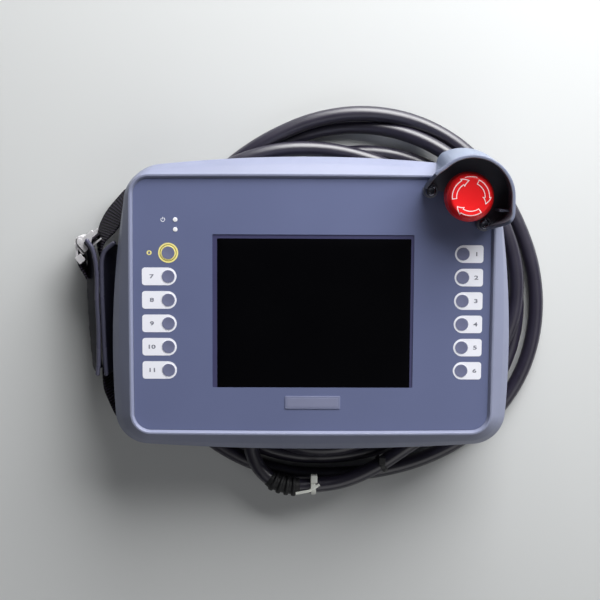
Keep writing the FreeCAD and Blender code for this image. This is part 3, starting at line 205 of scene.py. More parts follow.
def side_and_up(ahead):
    """Level side vectors and the vectors that stand on them, for unit directions along a line."""
    side = unit(np.cross(ahead, (0.0, 0.0, 1.0)))
    return side, np.cross(side, ahead)


def ease(value):
    """Smooth step from 0 to 1."""
    value = np.clip(value, 0, 1)
    return value * value * (3 - 2 * value)


def rising(value, start, over, rise):
    """Smooth rise that begins at a start value and is complete a given span later."""
    return rise * ease((value - start) / over)


def eased(values, half, keep_slope=False):
    """Values smoothed by a moving window of a half width; past the ends they stay level or keep the slope."""
    window = np.hanning(2 * half + 3)[1:-1]
    beyond = {"mode": "reflect", "reflect_type": "odd"} if keep_slope else {"mode": "edge"}
    return np.convolve(np.pad(values, half, **beyond), window / window.sum(), mode="valid")


def placed(name, data):
    """New object of some data, linked to the scene."""
    thing = bpy.data.objects.new(name, data)
    bpy.context.scene.collection.objects.link(thing)
    return thing


def meshed(thing):
    """Mesh of a curve or text object, which is removed, and the mesh's points."""
    mesh = bpy.data.meshes.new_from_object(thing)
    bpy.data.objects.remove(thing)
    points = np.empty(len(mesh.vertices) * 3)
    mesh.vertices.foreach_get("co", points)
    return mesh, points.reshape(-1, 3)


def make_piece(name, grids, materials, body="panel", nodes=(), sharp=35.0):
    """One object from grids of points, each (rows, columns, 3) in mm, with the number of its material.

    Quads join neighbours on a grid. Points that fall together at seams and poles are merged and faces
    turned outwards. The UV map holds the lengths along the rows and the columns in mm.
    """
    points, quads, maps, marks = [], [], [], []
    start = 0
    for grid, mark in grids:
        rows, columns = grid.shape[:2]
        row, column = np.meshgrid(np.arange(rows - 1), np.arange(columns - 1), indexing="ij")
        corner = (row * columns + column).ravel()
        quad = np.stack([corner, corner + columns, corner + columns + 1, corner + 1], axis=1)
        flat = np.stack(np.broadcast_arrays(lengths(grid, 0), lengths(grid, 1)), axis=2).reshape(-1, 2)
        points.append(grid.reshape(-1, 3))
        quads.append(quad + start)
        maps.append(flat[quad].reshape(-1, 2))
        marks.append(np.full(len(quad), mark))
        start += rows * columns
    mesh = bpy.data.meshes.new(name)
    mesh.from_pydata((np.concatenate(points) * MM).tolist(), [], np.concatenate(quads).tolist())
    layer = mesh.uv_layers.new(name="UVMap")
    layer.data.foreach_set("uv", np.concatenate(maps).ravel().astype(np.float32))
    mesh.polygons.foreach_set("material_index", np.concatenate(marks).astype(np.int32))
    return dress(name, tidy_mesh(mesh, sharp), materials, body, nodes)


def tidy_mesh(mesh, sharp):
    """Merge doubled points, turn faces outwards and shade smooth up to an angle in degrees."""
    work = bmesh.new()
    work.from_mesh(mesh)
    bmesh.ops.remove_doubles(work, verts=work.verts, dist=1e-6)
    bmesh.ops.dissolve_degenerate(work, edges=work.edges, dist=1e-7)
    bmesh.ops.recalc_face_normals(work, faces=work.faces)
    work.to_mesh(mesh)
    work.free()
    mesh.shade_smooth()
    mesh.set_sharp_from_angle(angle=math.radians(sharp))
    return mesh


def dress(name, mesh, materials, body, nodes):
    """Object of a mesh with its materials, its body, its finish and the solids it stands for."""
    thing = placed(name, mesh)
    for material in materials:
        mesh.materials.append(material)
    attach(thing, body)
    if nodes:
        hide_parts(*nodes)
    return thing


def rounded(corners, radii, steps=6):
    """Line through corners with arcs at the inner ones, each tangent to both runs."""
    corners = [np.array(c, float) for c in corners]
    line = [corners[0]]
    for before, corner, after, radius in zip(corners, corners[1:], corners[2:], radii):
        back, ahead = unit(before - corner), unit(after - corner)
        turn = math.pi - math.acos(np.clip(back @ ahead, -1, 1))
        if radius <= 0 or turn < 1e-3:
            line.append(corner)
            continue
        reach = radius * math.tan(turn / 2)
        centre = corner + unit(back + ahead) * radius / math.cos(turn / 2)
        first, last = corner + back * reach - centre, corner + ahead * reach - centre
        share = np.linspace(0, 1, steps + 1)[:, None]
        bend = (np.sin((1 - share) * turn) * first + np.sin(share * turn) * last) / math.sin(turn)
        line.extend(centre + bend)
    line.append(corners[-1])
    return np.array(line)


def turned(profile, count=96):
    """Surface of revolution about Z: (r cos t, r sin t, z) for profile points (r, z)."""
    ring = circle(count)
    return stacked([(radius * ring, z) for radius, z in profile])


def moved(grid, x=0.0, y=0.0, z=0.0):
    return grid + np.array([x, y, z])


def set_on(grid, origin, along, up):
    """Grid made on Z, set at a place with Z turned to a direction and X kept nearest to another."""
    w = unit(along)
    up = np.array(up, float)
    u = unit(up - w * (up @ w))
    v = np.cross(w, u)
    return np.array(origin) + grid[..., :1] * u + grid[..., 1:2] * v + grid[..., 2:] * w


def rounded_rectangle(width, height, corner, steps=8):
    """Closed outline of a rectangle with corner arcs, its first point repeated at the end."""
    quarter = ways(np.linspace(0, np.pi / 2, steps + 1)) * corner
    turn = np.array([[0.0, -1.0], [1.0, 0.0]])
    x, y = width / 2 - corner, height / 2 - corner
    return closed([
        quarter + (x, y),
        quarter @ turn.T + (-x, y),
        -quarter + (-x, -y),
        -quarter @ turn.T + (x, -y),
    ])


def slab(width, height, corner, low, high, edge, steps=4):
    """Block with a rounded outline; its top and bottom edges turn in by a quarter circle."""
    angle = np.linspace(0, np.pi / 2, steps + 1)
    shrink = edge * (1 - np.sin(angle))
    hem = edge + 0.06 * min(width, height)
    levels = [(hem, low)] + [(s, low + edge * (1 - math.sin(a))) for s, a in zip(shrink, angle[::-1])]
    levels += [(s, high - edge * (1 - math.sin(a))) for s, a in zip(shrink[::-1], angle)] + [(hem, high)]
    return capped(stacked([
        (rounded_rectangle(width - 2 * s, height - 2 * s, max(corner - s, 0.02)), z) for s, z in levels]))


def capped(grid):
    """Rings of points (around, level) closed at both ends by their middles."""
    first = np.broadcast_to(grid[:-1, :1].mean(axis=0), grid[:, :1].shape)
    last = np.broadcast_to(grid[:-1, -1:].mean(axis=0), grid[:, -1:].shape)
    return np.concatenate([first, grid, last], axis=1)


# Housing outline

def inset(outline, distance):
    """The outline moved inwards by a distance all round."""
    return Outline(*(np.array(outline) - distance))._replace(widest_y=outline.widest_y)


def between(low, high, share):
    """An outline part of the way from one to another; large radii are mixed as curvatures."""
    bends = ("side_r", "top_r", "bottom_r")
    values = []
    for name, a, b in zip(Outline._fields, low, high):
        values.append(1 / (1 / a + (1 / b - 1 / a) * share) if name in bends else a + (b - a) * share)
    return Outline(*values)


def corner_centre(side, side_r, end, end_r, corner, up):
    """Centre of the corner circle that touches a side arc and an end arc from inside."""
    gap = end - side
    distance = np.linalg.norm(gap)
    near, far = side_r - corner, end_r - corner
    along = (near ** 2 - far ** 2 + distance ** 2) / (2 * distance)
    across = math.sqrt(near ** 2 - along ** 2)
    way = gap / distance
    normal = np.array([-way[1], way[0]])
    first, second = side + way * along + normal * across, side + way * along - normal * across
    return first if (first[1] > second[1]) == up else second


def arc(centre, start, end, count):
    """Points of the shorter arc from start towards end about a centre, the end left out."""
    first = math.atan2(start[1] - centre[1], start[0] - centre[0])
    last = math.atan2(end[1] - centre[1], end[0] - centre[0])
    turn = (last - first + math.pi) % (2 * math.pi) - math.pi
    angle = first + turn * np.arange(count) / count
    radius = math.hypot(start[0] - centre[0], start[1] - centre[1])
    return centre + radius * ways(angle)


def bowed(outline):
    """Closed outline of four bowed sides and four corner arcs, its first point repeated."""
    side = np.array([outline.half_width - outline.side_r, outline.widest_y])
    top = np.array([0.0, outline.top - outline.top_r])
    bottom = np.array([0.0, outline.bottom_r - outline.bottom])
    flip = np.array([-1.0, 1.0])

    def touch(centre, radius, corner):
        return centre + (corner - centre) * radius / np.linalg.norm(corner - centre)

    high = corner_centre(side, outline.side_r, top, outline.top_r, outline.top_corner, True)
    low = corner_centre(side, outline.side_r, bottom, outline.bottom_r, outline.bottom_corner, False)
    side_high, side_low = touch(side, outline.side_r, high), touch(side, outline.side_r, low)
    top_right, bottom_right = touch(top, outline.top_r, high), touch(bottom, outline.bottom_r, low)
    return closed([
        arc(side, side_low, side_high, 28),
        arc(high, side_high, top_right, 18),
        arc(top, top_right, top_right * flip, 36),
        arc(high * flip, top_right * flip, side_high * flip, 18),
        arc(side * flip, side_high * flip, side_low * flip, 28),
        arc(low * flip, side_low * flip, bottom_right * flip, 18),
        arc(bottom, bottom_right * flip, bottom_right, 36),
        arc(low, bottom_right, side_low, 18),
    ])


def round_housing(section):
    """Section points (out, z) carried round the housing; out runs from 0 at the lip to BAND at the widest."""
    rings = []
    for out, z in section:
        outline = between(LIP, BODY, out / BAND) if out > 0 else inset(LIP, -out)
        rings.append((bowed(outline), z))
    return stacked(rings)


# Materials

def new_material(name, color, roughness, metallic=0.0):
    """Material with a principled shader; returns it with its nodes, links and shader."""
    material = bpy.data.materials.new(name)
    material.use_nodes = True
    nodes, links = material.node_tree.nodes, material.node_tree.links
    shader = nodes["Principled BSDF"]
    shader.inputs["Base Color"].default_value = color
    shader.inputs["Roughness"].default_value = roughness
    shader.inputs["Metallic"].default_value = metallic
    return material, nodes, links, shader


def noise(nodes, links, scale, detail=3.0, source="Object", stretch=None):
    """Noise value on Object coordinates or on the UV map; scale counts features per unit."""
    place = nodes.new("ShaderNodeTexCoord")
    texture = nodes.new("ShaderNodeTexNoise")
    texture.inputs["Scale"].default_value = scale
    texture.inputs["Detail"].default_value = detail
    if stretch:
        mapping = nodes.new("ShaderNodeMapping")
        mapping.inputs["Scale"].default_value = stretch
        links.new(place.outputs[source], mapping.inputs["Vector"])
        links.new(mapping.outputs["Vector"], texture.inputs["Vector"])
    else:
        links.new(place.outputs[source], texture.inputs["Vector"])
    return texture.outputs["Fac"]


def ramp(nodes, links, value, *stops):
    """Colour from a value through stops of (place, colour)."""
    node = nodes.new("ShaderNodeValToRGB")
    elements = node.color_ramp.elements
    while len(elements) < len(stops):
        elements.new(0.5)
    for element, (place, color) in zip(elements, stops):
        element.position = place
        element.color = color
    links.new(value, node.inputs["Fac"])
    return node.outputs["Color"]


def span(nodes, links, value, low, high):
    """Value from 0..1 spread over low..high."""
    node = nodes.new("ShaderNodeMapRange")
    node.inputs["To Min"].default_value = low
    node.inputs["To Max"].default_value = high
    links.new(value, node.inputs["Value"])
    return node.outputs["Result"]


def bump(nodes, links, shader, height, strength, distance):
    """Bump from a height value; distance in metres."""
    node = nodes.new("ShaderNodeBump")
    node.inputs["Strength"].default_value = strength
    node.inputs["Distance"].default_value = distance
    links.new(height, node.inputs["Height"])
    links.new(node.outputs["Normal"], shader.inputs["Normal"])


def shade(color, factor):
    return tuple(c * factor for c in color[:3]) + (1.0,)


def moulded(name, color, roughness, grain=2600.0, depth=0.00002, wear=0.12, blotch=25.0, gloss=0.5):
    """Moulded plastic: slow blotches in the colour, fine grain in the bump, uneven gloss."""
    material, nodes, links, shader = new_material(name, color, roughness)
    slow = noise(nodes, links, blotch, 4.0)
    links.new(
        ramp(nodes, links, slow, (0.3, shade(color, 1 - wear)), (0.7, shade(color, 1 + wear))),
        shader.inputs["Base Color"])
    fine = noise(nodes, links, grain, 2.0)
    links.new(span(nodes, links, slow, roughness - 0.07, roughness + 0.07), shader.inputs["Roughness"])
    bump(nodes, links, shader, fine, 0.35, depth)
    shader.inputs["Specular IOR Level"].default_value = gloss
    return material


def ink(name, color, roughness, wear):
    """Print on film: a finer grain and far less relief than moulded plastic."""
    return moulded(name, color, roughness, 3000.0, 0.000004, wear)


def metal(name, color, roughness, scratch=900.0, plain=1.0, depth=0.00001):
    """Plated steel: fine brushed streaks in the gloss; plain below 1 mixes in the colour as a diffuse white,
    partly a satin plating and partly a painted reflection.
    """
    material, nodes, links, shader = new_material(name, color, roughness, plain)
    streak = noise(nodes, links, scratch, 3.0, stretch=(1.0, 0.12, 1.0))
    links.new(span(nodes, links, streak, roughness - 0.08, roughness + 0.12), shader.inputs["Roughness"])
    bump(nodes, links, shader, streak, 0.12, depth)
    return material


def woven(name, groove_shade, ridge, pitch):
    """Webbing: cross ribs at a pitch along the strap, with a fine thread across them; the grooves' near-black
    colour is painted shade between the ribs.
    """
    material, nodes, links, shader = new_material(name, ridge, 0.62)
    place = nodes.new("ShaderNodeTexCoord")
    ribs = nodes.new("ShaderNodeTexWave")
    ribs.bands_direction = "Y"
    ribs.inputs["Scale"].default_value = math.pi / (10 * pitch)
    links.new(place.outputs["UV"], ribs.inputs["Vector"])
    ribbed = ramp(nodes, links, ribs.outputs["Fac"], (0.55, groove_shade), (0.97, ridge))
    links.new(ribbed, shader.inputs["Base Color"])
    thread = noise(nodes, links, 2.2, 2.0, source="UV", stretch=(1.0, 0.25, 1.0))
    height = nodes.new("ShaderNodeMath")
    height.operation = "ADD"
    links.new(ribs.outputs["Fac"], height.inputs[0])
    links.new(span(nodes, links, thread, 0.0, 0.3), height.inputs[1])
    bump(nodes, links, shader, height.outputs["Value"], 0.9, 0.0005)
    shader.inputs["Specular IOR Level"].default_value = 0.2
    return material


HOUSING = moulded("housing_plastic", srgb(134, 139, 163), 0.4, wear=0.04)
# Inner slope of the lip: a lighter, glossier copy of the housing plastic; the lighter colour is a painted
# highlight along the lip
LIP_PAINTED_HIGHLIGHT = moulded("lip_painted_highlight", srgb(138, 143, 168), 0.2, wear=0.03)
SHEET = moulded("front_sheet_film", srgb(99, 107, 143), 0.48, 3600.0, 0.000008, 0.035, 14.0)
KEY = moulded("key_film", srgb(112, 116, 146), 0.46, 3600.0, 0.000008, 0.04, 300.0)
BLACK = moulded("black_plastic", srgb(30, 30, 33), 0.4, 2200.0, 0.00002, 0.1)
# Inside of the hood, its floor and screw feet: paler than their dark plastic, painted light that stands in
# for light bouncing into the hood
GUARD_PAINTED_LIGHT = moulded("guard_plastic_painted_light", srgb(118, 120, 132), 0.3, 2000.0, 0.00002, 0.08)
HOOD = moulded("hood_outside", srgb(126, 136, 158), 0.34, 2000.0, 0.00002, 0.06)
HOOD_RIM = moulded("hood_rim", srgb(118, 124, 146), 0.3, 2000.0, 0.00002, 0.06)
RED = moulded("stop_red", srgb(248, 32, 36), 0.36, 1200.0, 0.00001, 0.03, gloss=0.35)
SCREEN = moulded("screen_black", srgb(2, 2, 4), 0.45, 5000.0, 0.000002, 0.02, gloss=0.05)
BORDER = moulded("screen_border", srgb(62, 62, 98), 0.45, 5000.0, 0.000003, 0.04)
WHITE = ink("label_white", srgb(245, 246, 255), 0.5, 0.015)
INK = ink("label_ink", srgb(118, 120, 134), 0.5, 0.03)
YELLOW = ink("yellow_ink", srgb(245, 232, 148), 0.5, 0.04)
CABLE = moulded("cable_jacket", srgb(36, 32, 48), 0.35, 700.0, 0.000004, 0.12, 60.0, gloss=1.0)
RUBBER = moulded("black_rubber", srgb(26, 26, 28), 0.55, 1500.0, 0.00004, 0.1)
VINYL = moulded("pad_vinyl", srgb(32, 32, 44), 0.5, 900.0, 0.00008, 0.12, gloss=0.1)
# Front welt of the pads: the pad vinyl, glossier and painted much lighter as a sheen along its crest
WELT_PAINTED_SHEEN = moulded("pad_welt_painted_sheen", srgb(88, 88, 108), 0.28, 900.0, 0.00005, 0.1)
NYLON = moulded("white_nylon", srgb(246, 248, 240), 0.4, 1500.0, 0.00001, 0.04)
STEEL = metal("plated_steel", srgb(196, 196, 198), 0.3)
BRASS = metal("brass", srgb(205, 170, 95), 0.32)
# Buckle steel: a satin plating with a mostly white diffuse colour, which paints in the plates' bright
# reflection
STEEL_PAINTED_SHINE = metal("bright_steel", srgb(246, 244, 247), 0.3, plain=0.3, depth=0.0000015)
LAMP = moulded("lamp_lens", srgb(245, 245, 248), 0.25, 3000.0, 0.000003, 0.01)
BOARD = moulded("circuit_board", srgb(40, 92, 60), 0.45, 1500.0, 0.00001, 0.08)
OLIVE = ink("olive_ink", srgb(146, 132, 66), 0.5, 0.05)
ARROW = ink("arrow_white", srgb(252, 236, 236), 0.45, 0.03)
BADGE_EDGE = ink("badge_edge", srgb(122, 127, 156), 0.4, 0.03)
BADGE = ink("badge_face", srgb(127, 131, 158), 0.45, 0.05)
BLACK_STEEL = metal("black_steel", srgb(120, 120, 132), 0.2)
# Webbing: the near-black groove colour is painted shade between the ribs
WEBBING = woven("webbing", srgb(8, 6, 12), srgb(50, 43, 60), 1.8)


# Camera, light and floor

def camera():
    data = bpy.data.cameras.new("view")
    data.sensor_width = SENSOR
    data.lens = FOCAL_PIXELS * SENSOR / PICTURE_SIDE
    data.clip_start, data.clip_end = 0.01, 20.0
    thing = placed("view", data)
    thing.location = [c * MM for c in CAMERA_PLACE]
    thing.rotation_mode = "ZYX"
    thing.rotation_euler = [math.radians(a) for a in CAMERA_TILT]
    bpy.context.scene.camera = thing


def area_light(name, place, aim, width, height, power):
    """Soft white rectangular lamp at a place in metres, facing a point."""
    data = bpy.data.lights.new(name, "AREA")
    data.shape = "RECTANGLE"
    data.size, data.size_y = width, height
    data.energy = power
    thing = placed(name, data)
    thing.location = place
    thing.rotation_mode = "QUATERNION"
    thing.rotation_quaternion = (Vector(aim) - Vector(place)).to_track_quat("-Z", "Y")


def studio():
    bpy.context.scene.view_settings.view_transform = "Standard"
    middle = (0.0, 0.0, 0.04)
    area_light("key", (0.42, 0.8, 0.58), middle, 1.0, 0.65, 17.5)
    area_light("strip", (0.45, 1.25, 0.32), (0.1, 0.0, 0.04), 1.5, 0.6, 16.0)
    area_light("front", (0.8, -1.4, 1.8), middle, 2.8, 2.0, 12.8)
    world = bpy.data.worlds.new("studio")
    world.use_nodes = True
    sky = world.node_tree.nodes["Background"]
    sky.inputs["Color"].default_value = (0.82, 0.85, 0.92, 1.0)
    sky.inputs["Strength"].default_value = 0.035
    bpy.context.scene.world = world
    mesh = bpy.data.meshes.new("floor")
    corners = [(x * FLOOR_REACH, y * FLOOR_REACH, 0) for x, y in ((-1, -1), (1, -1), (1, 1), (-1, 1))]
    mesh.from_pydata(corners, [], [(0, 1, 2, 3)])
    mesh.materials.append(new_material("pale_floor", srgb(212, 214, 214), 0.7)[0])
    thing = placed("floor", mesh)
    thing.location.z = -FLOOR_GAP


# Cable

def coil_points():
    """Loose turns about the coil's middle: radius mixed along the angle, height raised over crossings."""
    fine = np.arange(-60.0, 1411.0)
    keys = np.concatenate([[COIL_ENTRY, COIL_ENTRY], np.ravel(TURN_RADII)])
    key_angles = 30.0 * np.arange(-2, keys.size - 2)
    smooth = eased(np.interp(fine, key_angles, keys), COIL_EASE)
    angle = np.linspace(COIL_FROM, COIL_TO, round((COIL_TO - COIL_FROM) / COIL_STEP) + 1)
    radius = np.interp(angle, fine, smooth)
    height = np.full_like(angle, CABLE_RADIUS)
    for low, high, rise in CLIMBS:
        up, down = (angle - low) / CLIMB_RAMP + 1, (high - angle) / CLIMB_RAMP + 1
        height += rise * ease(up) * ease(down)
    return np.column_stack([radius[:, None] * ways(np.radians(angle)) + (COIL_X, COIL_Y), height])


def cable_curve(name, bevel):
    """The cable's one smooth line: lead, coil and tail as control points of a NURBS spline."""
    points = np.concatenate([LEAD_ROUTE, coil_points(), TAIL_ROUTE]) * MM
    data = bpy.data.curves.new(name, "CURVE")
    data.dimensions = "3D"
    spline = data.splines.new("NURBS")
    spline.points.add(len(points) - 1)
    spline.points.foreach_set("co", np.column_stack([points, np.ones(len(points))]).ravel())
    spline.order_u = 3
    spline.use_endpoint_u = True
    spline.resolution_u = 6
    data.bevel_depth = bevel
    data.bevel_resolution = 8
    data.use_fill_caps = bevel > 0
    return placed(name, data)


def cable_line():
    """Points along the cable's line in mm, read from the spline without its thickness."""
    mesh, points = meshed(cable_curve("cable_line", 0.0))
    bpy.data.meshes.remove(mesh)
    return points / MM


def cable():
    thing = cable_curve("cable", CABLE_RADIUS * MM)
    thing.data.materials.append(CABLE)
    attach(thing, "panel")
    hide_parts("cable_lead", "cable_coil", "cable_end")
    return thing


# Housing pieces

def front_frame():
    """Closed section of the front frame: skirt, bulged band, raised lip and inner wall."""
    bulge = (BAND / 2 + 0.9, (WIDE_Z + LIP_Z) / 2)
    corners = [
        (SKIRT - SKIRT_WALL, FRAME_LOW_Z), (SKIRT, FRAME_LOW_Z), (BAND, WIDE_Z), bulge, (0.0, LIP_Z),
        (LIP_SLOPE - LIP_WIDTH, LIP_Z), (-LIP_WIDTH, SHEET_Z - 0.4), (-LIP_WIDTH + 1.5, SHEET_Z - 3.0),
        (SKIRT - SKIRT_WALL, FRAME_LOW_Z),
    ]
    section = rounded(corners, [0.3, 1.6, 9.0, 0.9, 0.5, 0.0, 0.0])
    ring = round_housing(section)
    out, height = section.T
    # The lip's inner slope takes the lighter copy of the housing plastic: a painted highlight
    slope = np.flatnonzero((out < LIP_SLOPE - LIP_WIDTH + 0.5) & (height > SHEET_Z - 0.5))
    first, last = slope[0], slope[-1]
    grids = [(ring[:, :first + 1], 0), (ring[:, first:last + 1], 1), (ring[:, last:], 0)]
    make_piece("front_frame", grids, [HOUSING, LIP_PAINTED_HIGHLIGHT], nodes=["front_bezel"])


def rear_tray():
    """Tray below the seam: short wall, large round and a flat floor that runs in under the block.

    The floor's inner line is the tray's outline drawn in to a rectangle, each point along its ray.
    """
    inner = TRAY_LOW_Z + TRAY_FLOOR
    corners = [
        (SKIRT - TRAY_ROUND, inner), (SKIRT - TRAY_WALL, TRAY_TOP_Z - 1.0), (SKIRT - TRAY_WALL, TRAY_TOP_Z),
        (SKIRT, TRAY_TOP_Z), (SKIRT - 0.4, TRAY_TOP_Z - 2.0), (SKIRT - TRAY_ROUND, TRAY_LOW_Z),
        (0.0, TRAY_LOW_Z)]
    wall = round_housing(rounded(corners, [1.0, 0.1, 0.3, 4.0, 3.0]))
    half = np.array([BLOCK_WIDTH, BLOCK_HEIGHT]) / 2 - BLOCK_EDGE
    flat = wall[:, -1, :2]
    hole = flat / np.abs(flat / half).max(axis=1, keepdims=True)
    rims = stacked([(hole, TRAY_LOW_Z), (hole, inner)])
    tray = np.concatenate([wall, rims, wall[:, :1]], axis=1)
    make_piece("rear_tray", [(tray, 0)], [HOUSING], nodes=["rear_cover"])
    seal = round_housing(loop(SKIRT - SEAL_OUTER, SKIRT - SEAL_INNER, TRAY_TOP_Z, FRAME_LOW_Z))
    make_piece("seam_seal", [(seal, 0)], [RUBBER], nodes=["housing_gasket"])


# Keys, labels and marks on the sheet

KEY_RADIUS, KEY_FIELD, KEY_PROUD, KEY_DEPTH = 4.15, 3.95, 0.25, 3.0
LABEL_HALF, LABEL_CORNER, LABEL_HOLE, LABEL_SHIFT = 5.45, 1.7, 4.2, 0.4
LEFT_REACH, RIGHT_REACH = 16.1, 12.5
RING_GAP, RING_OUTER, RING_EDGE = 4.7, 5.2, 6.15
NUMBER_HEIGHT, NUMBER_STRETCH = 2.5, 1.55
LAMP_WINDOW = 1.4
# Print stands proud of the sheet by this much and starts a little below its face
PRINT = 0.06
PRINT_LOW, PRINT_HIGH = SHEET_Z - 0.02, SHEET_Z + PRINT
BADGE_X, BADGE_Y = 0.7, -60.35
FIELD_WIDTH, FIELD_HEIGHT, FIELD_X, FIELD_Y = 119.1, 92.4, 1.15, -4.9
LEFT_KEYS = ("key_07", "key_08", "key_09", "key_10", "key_11")
RIGHT_KEYS = ("key_01", "key_02", "key_03", "key_04", "key_05", "key_06")


def key_cap(name, rim):
    """Turned cap with a printed rim and a shallow hollow in its field."""
    x, y, _ = node_middle(name)
    top = SHEET_Z + KEY_PROUD
    low = SHEET_Z - KEY_DEPTH
    edge = [(0, low), (KEY_RADIUS, low), (KEY_RADIUS, top), (KEY_FIELD, top)]
    field = [(KEY_FIELD, top), (KEY_FIELD - 0.9, top), (0, top - 0.22)]
    grids = [(moved(turned(rounded(edge, [0.1, 0.15]), 64), x, y), 1),
             (moved(turned(rounded(field, [1.2]), 64), x, y), 0)]
    make_piece(name + "_cap", grids, [KEY, rim], name, [name])


def label_plate(name, side, reach):
    """Pale plate round a key, between its hole and a line made of a half circle and a rounded rectangle.

    side is 1 where the rectangle lies to the left of the key and -1 where it lies to the right; reach is
    the rectangle's length from the key's middle.
    """
    x, y, _ = node_middle(name)
    half = LABEL_HALF * ways(np.linspace(-np.pi / 2, np.pi / 2, 33)) - (LABEL_SHIFT, 0.0)
    far = rounded([half[-1], (-reach, LABEL_HALF), (-reach, -LABEL_HALF), half[0]], [LABEL_CORNER] * 2)
    outer = evenly(np.concatenate([half[:-1], far]), 0.35)
    inner = LABEL_HOLE * unit(outer)
    grid = stacked(loop(inner, outer, PRINT_LOW, PRINT_HIGH)) * (side, 1, 1)
    make_piece(name + "_label", [(moved(grid, x, y), 0)], [WHITE])
    number = str(int(name[-2:]))
    middle = x - side * (reach + LABEL_HOLE) / 2
    written(name + "_number", number, middle, y, NUMBER_HEIGHT, NUMBER_STRETCH, PRINT_HIGH, INK)


def written(name, words, x, y, height, stretch, z, material):
    """Words as a thin plate, their capitals of a given height in mm."""
    curve = bpy.data.curves.new(name, "FONT")
    curve.body = words
    curve.extrude = 0.02
    curve.offset = 0.025
    mesh, spots = meshed(placed(name, curve))
    low, high = spots.min(axis=0), spots.max(axis=0)
    scale = height / (high[1] - low[1])
    spots = (spots - (low + high) / 2) * (scale * stretch, scale, PRINT / (high[2] - low[2])) + (x, y, z)
    mesh.vertices.foreach_set("co", (spots * MM).ravel())
    mesh.materials.clear()
    dress(name, tidy_mesh(mesh, 35.0), [material], "panel", ())


def flat_ring(inner, outer, low, high):
    """Square-edged ring about Z as a turned closed section."""
    return turned(loop(inner, outer, low, high), 72)


def operation_marks():
    """Two yellow rings with an olive gap round the operation key, and its number."""
    x, y, _ = node_middle("operation_key")
    bands = (
        (LABEL_HOLE, RING_GAP, PRINT, 0),
        (RING_GAP, RING_OUTER, PRINT / 2, 1),
        (RING_OUTER, RING_EDGE, PRINT, 0))
    rings = [(moved(flat_ring(inner, outer, PRINT_LOW, SHEET_Z + rise), x, y), mark)
             for inner, outer, rise, mark in bands]
    make_piece("operation_rings", rings, [YELLOW, OLIVE])
    written("operation_number", "0", x - 11.6, y, 2.8, 1.7, SHEET_Z + PRINT / 2, YELLOW)


def lamps():
    """Two small lamp windows, each in a collar of the sheet's colour, with a power mark by the upper one."""
    low, high = node_box("status_lamps")
    x = (low[0] + high[0]) / 2
    radius = (high[0] - low[0]) / 2
    collar_top, collar_low, window_low = SHEET_Z + 0.01, SHEET_Z - 0.6, SHEET_Z - 0.3
    collar = turned([(0, collar_low), (radius, collar_low), (radius, collar_top), (0, collar_top)], 40)
    corners = [(0, window_low), (LAMP_WINDOW, window_low), (LAMP_WINDOW, SHEET_Z + 0.2), (0, SHEET_Z + 0.28)]
    window = turned(rounded(corners, [0.05, 0.2]), 40)
    lower, upper = low[1] + radius, high[1] - radius
    lenses = [(moved(form, x, y), mark) for y in (lower, upper) for mark, form in enumerate((window, collar))]
    make_piece("lamp_lenses", lenses, [LAMP, SHEET], nodes=["status_lamps"])
    power_mark(x - 7.5, upper)


def power_mark(x, y):
    """Broken ring with a short bar in its gap."""
    arms = ways(np.radians(np.linspace(125, 415, 40)))
    ring = stacked([(radius * arms, z) for radius, z in loop(1.0, 1.35, PRINT_LOW, PRINT_HIGH)])
    bar = slab(0.4, 1.5, 0.05, PRINT_LOW, PRINT_HIGH, 0.01)
    grids = [(moved(capped(np.swapaxes(ring, 0, 1)), x, y), 0), (moved(bar, x, y + 0.9), 0)]
    make_piece("power_mark", grids, [WHITE])


def bare_badge():
    """Plain field: a rim with a slightly raised face."""
    rim = slab(34.2, 8.1, 0.7, SHEET_Z - 0.05, SHEET_Z + 0.4, 0.18)
    face = slab(31.6, 5.6, 0.4, SHEET_Z, SHEET_Z + 0.46, 0.05)
    grids = [(moved(form, BADGE_X, BADGE_Y), mark) for mark, form in enumerate((rim, face))]
    make_piece("bare_badge", grids, [BADGE_EDGE, BADGE])


def screen():
    """Touch film with an indigo border round the black field."""
    low, high = node_box("touch_glass")
    x, y, _ = (low + high) / 2
    wide, tall, _ = high - low
    film = moved(slab(wide, tall, 0.8, low[2], high[2], 0.05), x, y)
    field = slab(FIELD_WIDTH, FIELD_HEIGHT, 0.5, high[2] - 0.2, high[2] + 0.03, 0.01)
    grids = [(film, 0), (moved(field, FIELD_X, FIELD_Y), 1)]
    make_piece("screen_film", grids, [BORDER, SCREEN], nodes=["touch_glass"])


# Emergency stop

STOP_X, STOP_Y = node_middle("stop_head")[:2]
HEAD_LOW, HEAD_TOP = node_span("stop_head")
HEAD_RADIUS = np.ptp(node_span("stop_head", 0)) / 2
GUARD_TOP_Z, GUARD_FOOT_Z = node_span("stop_guard")[1], 43.5
GUARD_RADIUS, GUARD_FLARE, GUARD_WALL, GUARD_START = 25.0, 4.2, 2.2, 170.0
HOOD_CORNER, HOOD_CORNER_Y, HOOD_END = 9.0, -14.5, (12.5, -20.6)
HOOD_FLOOR_Z = SHEET_Z + 3.0
HOOD_FLOOR_DEPTH, HUB_RADIUS = 9.0, 13.0
# A little more than the radius of the rim's rounding
RIM_ROUND = 0.72
# Left end of the hood, by the angle in degrees: from where, over how much, and by how many mm its rim bulges
# out, its foot draws in and its rim drops
RIM_BULGE, FOOT_DRAW, LEFT_DROP = (132, 20, 1.9), (115, 35, 8.8), (148, 22, 24.0)
# Right side, by the length along it: where the flare runs out, and where the rim starts to drop
FLARE_FROM, FLARE_OVER = 4.0, 12.0
RIGHT_FROM, RIGHT_DROP, RIGHT_BEND = 13.0, 25.0, 1.3
FOOT_SPOTS = ((71.31, 71.03), (104.2, 51.0))
FOOT_HEIGHT, FOOT_RADIUS = 6.0, 4.4
